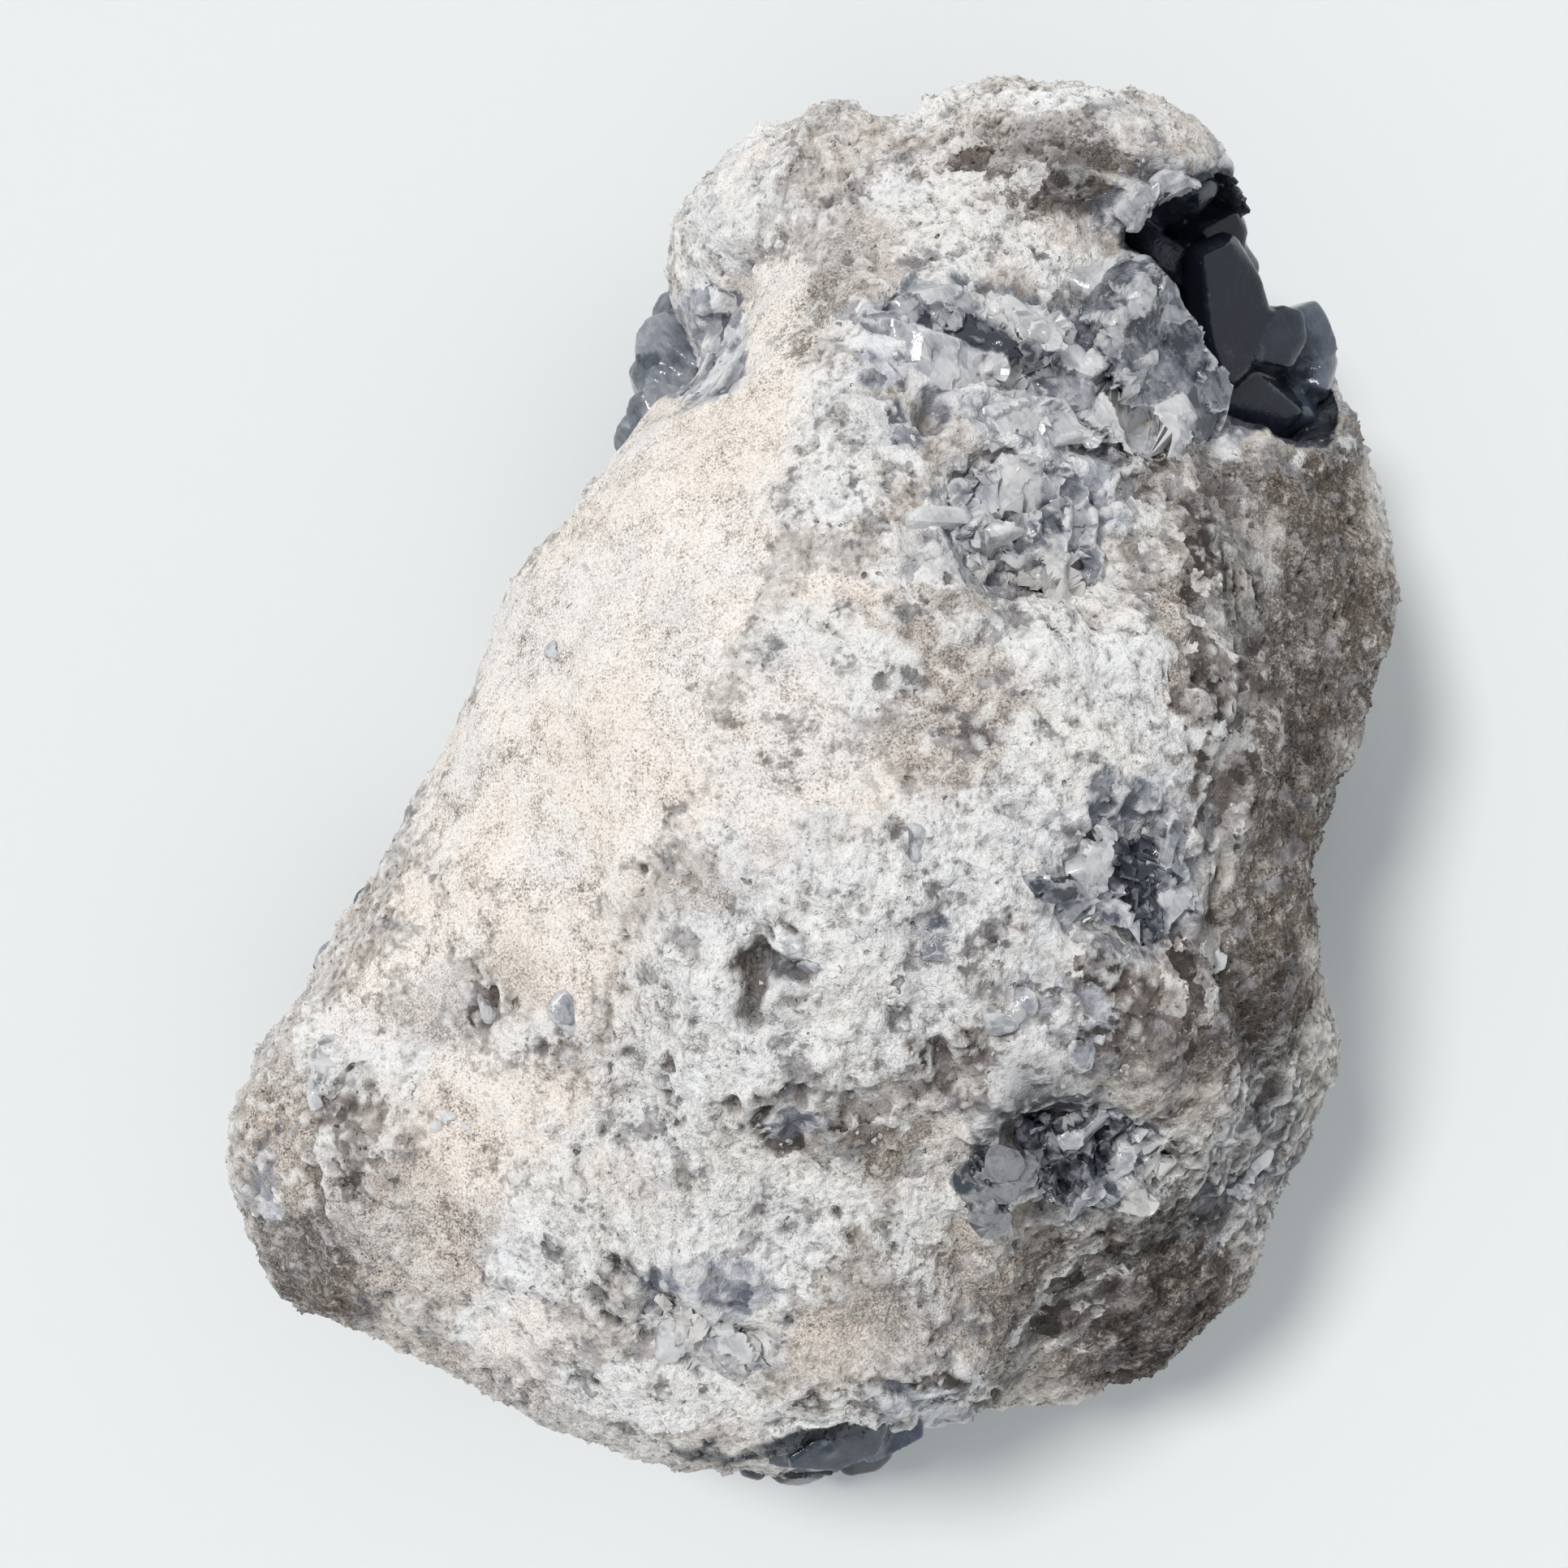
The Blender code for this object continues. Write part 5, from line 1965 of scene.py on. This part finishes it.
@dataclass
class Studio:
    """The pale floor with its round backdrop, the soft lights and the camera above.

    Attributes:
        floor_radius: radius of the flat floor in metres.
        bend_radius: radius of the bend up to the backdrop.
        wall_height: height of the backdrop above the bend.
        floor_colour: the floor's colour.
        key_power: strength of the key light.
        key_spread: how wide the key light looks, in degrees.
        key_round: direction that it comes from, in degrees from +X towards +Y.
        key_height: its height above the floor, in degrees.
        key_colour: its colour.
        fill: colour of the light from all round.
        fill_strength: its strength.
        sensor: width of the camera's sensor in millimetres.
    """

    floor_radius: float = 3.0
    bend_radius: float = 1.2
    wall_height: float = 1.0
    floor_colour: str = "#eaedee"
    key_power: float = 1.85
    key_spread: float = 13.0
    key_round: float = 140.0
    key_height: float = 61.0
    key_colour: Triple = (1.0, 0.985, 0.965)
    fill: Triple = (0.94, 0.975, 1.0)
    fill_strength: float = 0.52
    sensor: float = 36.0

    def build(self) -> None:
        """Sets up the floor, the lights and the camera."""
        scene = bpy.context.scene
        self.lay_floor()
        world = bpy.data.worlds.new("studio")
        world.use_nodes = True
        sky = world.node_tree.nodes["Background"]
        sky.inputs["Color"].default_value = (*self.fill, 1.0)
        sky.inputs["Strength"].default_value = self.fill_strength
        scene.world = world
        lamp = bpy.data.lights.new("key light", "SUN")
        lamp.energy = self.key_power
        lamp.angle = math.radians(self.key_spread)
        lamp.color = self.key_colour
        key = set_out("key light", lamp)
        turn, height = math.radians(self.key_round), math.radians(self.key_height)
        level = math.cos(height)
        key.location = Vector((math.cos(turn) * level, math.sin(turn) * level, math.sin(height)))
        key.rotation_euler = key.location.to_track_quat("Z", "Y").to_euler()
        lens = bpy.data.cameras.new("camera")
        lens.sensor_width = self.sensor
        lens.lens = self.sensor / 2 / math.tan(HALF_FIELD)
        lens.clip_start = 0.01
        lens.clip_end = 20.0
        scene.camera = set_out("camera", lens)
        scene.camera.location = Vector(CAMERA_PLACE) * MM
        scene.view_settings.view_transform = "Standard"
        scene.view_settings.look = "None"

    def lay_floor(self) -> None:
        """Turns a profile round into a floor that bends up into a backdrop."""
        profile = [(0.0, 0.0), (self.floor_radius, 0.0)]
        steps = 8
        for step in range(1, steps + 1):
            angle = math.radians(90 * step / steps)
            out = self.floor_radius + self.bend_radius * math.sin(angle)
            profile.append((out, self.bend_radius * (1 - math.cos(angle))))
        profile.append((profile[-1][0], self.bend_radius + self.wall_height))
        bm = bmesh.new()
        verts = [bm.verts.new((x, 0.0, z)) for x, z in profile]
        edges = [bm.edges.new(pair) for pair in itertools.pairwise(verts)]
        turn = {"cent": (0, 0, 0), "axis": (0, 0, 1), "angle": math.tau, "steps": 96}
        bmesh.ops.spin(bm, geom=verts + edges, use_merge=True, **turn)
        bmesh.ops.remove_doubles(bm, verts=bm.verts, dist=WELD)
        bmesh.ops.recalc_face_normals(bm, faces=bm.faces)
        if sum(face.normal.z for face in bm.faces) < 0:
            bmesh.ops.reverse_faces(bm, faces=bm.faces)
        mesh = mesh_of(bm, "floor")
        mesh.shade_smooth()
        floor = set_out("floor", mesh)
        material, shader, _ = new_material("pale floor")
        inputs = {"Base Color": self.floor_colour, "Roughness": 0.9, "Specular IOR Level": 0.1}
        Nodes(material.node_tree).fill(shader, inputs)
        mesh.materials.append(material)


VEIN_CRYSTALS = crystals(
    (1192, 412, 19, 4.6, 2.8, 110, 3, 0.35, 0.1, 0.7), (1222, 392, 15, 2, 2.6, 124, 3, 0.8, 0.95),
    (1252, 396, 15, 2.2, 2.4, 122, 3, 0.8, 0.75), (1280, 404, 12, 2, 2.4, 122, 3, 0.8, 0.9),
    (1160, 450, 14, 7, 2.2, 98, 3, 0.6, 0.5), (1100, 390, 6, 3.6, 2.2, 70, 8, 0.6, 0.4, 0.1),
    (1160, 362, 8, 3.6, 2.4, 100, 6, 0.6, 0.4, 0.1), (1304, 479, 8, 4, 1.8, 95, 3, 0.6, 0.3, 0.15),
    (1340, 345, 9, 4.5, 2.8, 100, 6, 0.6, 0.55), (1415, 362, 9, 5.5, 3.2, 110, 6, 0.6, 0.9),
    (1440, 400, 8, 5, 3, 140, 6, 0.6, 0.75), (1412, 420, 13, 14, 6, 140, -4, 0.9, 0.2, 0.4),
    (1444, 495, 12, 14, 6, 130, -4, 0.9, 0.15, 0.4), (1430, 500, 9, 5.5, 2.4, 130, 6, 0.6, 0.7),
    (1300, 535, 9, 5, 2, 95, 5, 0.6, 0.9), (1345, 505, 7, 4.4, 2.2, 140, 8, 0.6, 0.9),
    (1240, 520, 7, 4.4, 1.8, 70, 5, 0.6, 0.85),
)
MIDDLE_CRYSTALS = crystals(
    (1250, 615, 10, 5.4, 3, 15, 8, 0.5, 0.85), (1300, 600, 7, 4.5, 2.4, 100, 6, 0.6, 0.35, 0.2),
    (1330, 640, 9, 4, 2.4, 10, 6, 0.6, 0.7), (1215, 670, 8, 3.5, 2.5, 60, 8, 0.6, 0.8),
    (1160, 640, 7, 3.4, 2, 80, 5, 0.6, 0.8), (1345, 705, 5.5, 3.8, 2, 30, 4, 0.6, 0.45, 0.1),
)
RIGHT_CRYSTALS = crystals(
    (1290, 1098, 5.6, 3.8, 2.2, 80, 4, 0.8, 0.1, 0.5), (1345, 1055, 6, 4, 2.6, 30, 10, 0.6, 0.6),
    (1440, 1035, 6.4, 3.4, 2.4, 5, 8, 0.6, 0.35, 0.2), (1440, 1110, 6.6, 4.4, 2.8, 50, 8, 0.6, 0.6),
    (1370, 1130, 5.6, 3.6, 2.4, 100, 8, 0.6, 0.5),
)
# Low shades and gloom darken them: partly painted shade in the pocket.
LOWER_CRYSTALS = crystals(
    (1265, 1400, 9, 3.2, 2.4, 48, 5, 0.5, 0.25, 0.4), (1315, 1430, 11, 3.6, 2.8, 50, 6, 0.5, 0.2, 0.5),
    (1340, 1375, 9, 3.4, 2.4, 55, 5, 0.5, 0.45, 0.2), (1245, 1460, 9, 3, 1.8, 45, 2, 0.3, 0.1, 0.8),
    (1215, 1440, 8, 3, 1.6, 50, 2, 0.3, 0.1, 0.8), (1325, 1485, 7, 2.8, 2.2, 40, 4, 0.5, 0.4, 0.3),
    (1395, 1420, 7, 3, 2.2, 60, 4, 0.5, 0.5, 0.2),
)
FRONT_CRYSTALS = crystals(
    (905, 1655, 6, 3, 2, 120, 5, 0.6, 0.8), (830, 1650, 6, 3, 2, 20, 5, 0.6, 0.8),
    (820, 1605, 6, 3.4, 1.8, 80, 4, 0.6, 0.5, 0.1),
)
# Low shades and high gloom darken them: partly painted shade in the hollow.
HOLLOW_CRYSTALS = crystals(
    (1500, 375, 16, 11, 7, -24, 4, 0.5, 0, 1), (1520, 470, 13, 9, 8, -40, 0, 0.8, 0.1, 0.6),
    (1430, 315, 9, 5, 5, -50, 10, 0.6, 0.2), (1590, 415, 6.4, 5.6, 5, -25, 6, 0.9, 0.7, 0.1),
    (1618, 462, 6, 5.4, 5, 15, 0, 0.9, 0.8, 0), (1578, 470, 6.4, 5.6, 6, -60, 0, 0.9, 0.6, 0.1),
    (1600, 515, 6, 5.4, 6, -30, 0, 0.9, 0.7, 0.1), (1550, 500, 6, 5, 6, 40, 0, 0.8, 0.5, 0.2),
    (1556, 420, 7, 6, 6, 10, 0, 0.9, 0.2, 0.4),
)
LONE_CRYSTALS = crystals(
    (402, 1300, 6.4, 3, 1.6, -8, 0, 0.9, 0.9), (396, 1358, 6.4, 2.8, 1.6, -6, 0, 0.9, 0.9),
    (545, 1362, 4.8, 1.1, 1, 150, 0, 0.8, 1), (566, 1386, 4.6, 1.1, 1, 128, 0, 0.8, 1),
    (533, 1398, 3.8, 0.9, 0.9, 25, 0, 0.8, 1), (700, 1242, 4.6, 3.8, 1.6, 30, 4, 0.6, 0.35, 0.2),
    (599, 1238, 4.4, 2, 1.3, 5, 3, 0.6, 0.3, 0.2), (1000, 1198, 6, 3.6, 2, 100, 6, 0.6, 0.45, 0.15),
    (1145, 1155, 4.4, 3.2, 1.6, 5, 4, 0.6, 0.4, 0.15), (836, 1442, 4.8, 2.8, 1.4, 10, 4, 0.6, 0.5),
    (1250, 1245, 5.6, 3.8, 2, 70, 6, 0.6, 0.4, 0.1), (1340, 1290, 5, 3.2, 1.8, 30, 4, 0.6, 0.4, 0.2),
    (1120, 1035, 4, 2.6, 1.2, 15, 3, 0.6, 0.3, 0.2), (1500, 1175, 4.6, 1.6, 1.2, 5, 2, 0.8, 0.9),
    (885, 765, 1.8, 0.9, 1, 15, 0, 0.8, 1), (680, 805, 3.2, 2.4, 1, 40, 0, 0.6, 0.3, 0.2),
    (1400, 250, 5, 3.4, 2.6, 30, 10, 0.6, 0.4, 0.1), (1450, 225, 5, 3.4, 2.6, 70, 10, 0.6, 0.5, 0.1),
    (1540, 1440, 9, 3.2, 2.4, 35, 6, 0.5, 0.6, 0.1),
)
FRONT_RIM_CRYSTALS = crystals(
    (980, 1790, 9, 5.5, 4, 95, 0, 0.8, 0.3), (1040, 1784, 13, 6, 4.5, 84, 0, 0.8, 0.1),
    (1100, 1768, 8, 4.6, 4, 70, 0, 0.7, 0.3),
)

MASSES: tuple[CrystalMass, ...] = (
    *(
        CrystalMass(name, "broken_celestite", BROKEN, placed, stand)
        for name, placed, stand in (
            ("vein_crystals", VEIN_CRYSTALS, 0.25),
            ("middle_pocket_crystals", MIDDLE_CRYSTALS, 0.3),
            ("right_pocket_crystals", RIGHT_CRYSTALS, 0.35),
            ("lower_pocket_crystals", LOWER_CRYSTALS, 0.4),
            ("front_pocket_crystals", FRONT_CRYSTALS, 0.35),
        )
    ),
    *(
        CrystalMass(name, slot, finish, placed, 1.0, facets=(), **more)
        for name, slot, finish, placed, more in (
            ("left_edge_crystals", "blue_celestite", BLUE, (), {"melt": 2}),
            ("left_rim_crystals", "blue_celestite", BLUE, (), {"melt": 2}),
            ("underside_crystal_crust", "blue_celestite", BLUE, (), {"voxel": 0.6, "melt": 1}),
            ("hollow_crystals", "dark_celestite", DARK_AND_SHADED, HOLLOW_CRYSTALS,
             {"sink": 0.1, "melt": 9, "soft": 1.0, "crisp": 60.0}),
            ("right_rim_crystals", "dark_celestite", DARK_AND_SHADED, (), {"melt": 2}),
            ("front_rim_crystals", "dark_celestite", DARK_AND_SHADED, FRONT_RIM_CRYSTALS,
             {"sink": 0.85, "melt": 5}),
        )
    ),
)
LONE = CrystalMass("lone_crystals", "broken_celestite", BROKEN, LONE_CRYSTALS, 1.0, 0.84)

STREWN: tuple[Strew, ...] = (
    Strew(
        "broken_chips", Mark.GLASS, "broken_celestite", BROKEN, 9.0, (0.4, 1.6), 1.8,
        (1.2, 0.8, 0.5), cuts=3, tilt=30, sink=0.28,
    ),
    Strew(
        "coarse_crumbs", Mark.ROUGH, "limy_rock", ROCK, 12.0, (0.8, 2.0), 2.0,
        (1.1, 0.9, 0.7), corners=12, tilt=50, sink=0.3,
    ),
    Strew(
        "fine_crumbs", Mark.ROUGH, "limy_rock", ROCK, 36.0, (0.4, 0.95), 1.5,
        (1.1, 0.9, 0.8), corners=7, tilt=90, sink=0.16,
    ),
    Strew(
        "finer_crumbs", Mark.ROUGH, "limy_rock", ROCK, 42.0, (0.3, 0.7), 1.3,
        (1.1, 0.9, 0.8), corners=6, tilt=90, sink=0.16,
    ),
)


def keep(piece: bpy.types.Object) -> None:
    """Puts a finished piece on the body and reports it.

    Args:
        piece: the finished piece.
    """
    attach(piece, BODY)
    LOG.info("%s: %d triangles", piece.name, triangle_count(piece.data))


def main() -> None:
    """Builds every piece in order."""
    logging.basicConfig(level=logging.INFO, format="%(message)s")
    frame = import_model()
    nodes = frame["nodes"]
    Studio().build()
    rock = Rock().build(nodes["rock"])
    keep(rock)
    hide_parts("rock")
    surface = BVHTree.FromObject(rock, bpy.context.evaluated_depsgraph_get())
    for mass in MASSES:
        piece = mass.build(nodes[mass.name], surface)
        keep(piece)
        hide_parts(mass.name)
    keep(LONE.build(None, surface))
    tree = scatter_tree()
    for seed, strew in enumerate(STREWN, start=1):
        keep(strew.build(rock, tree, seed))


if __name__ == "__main__":
    main()
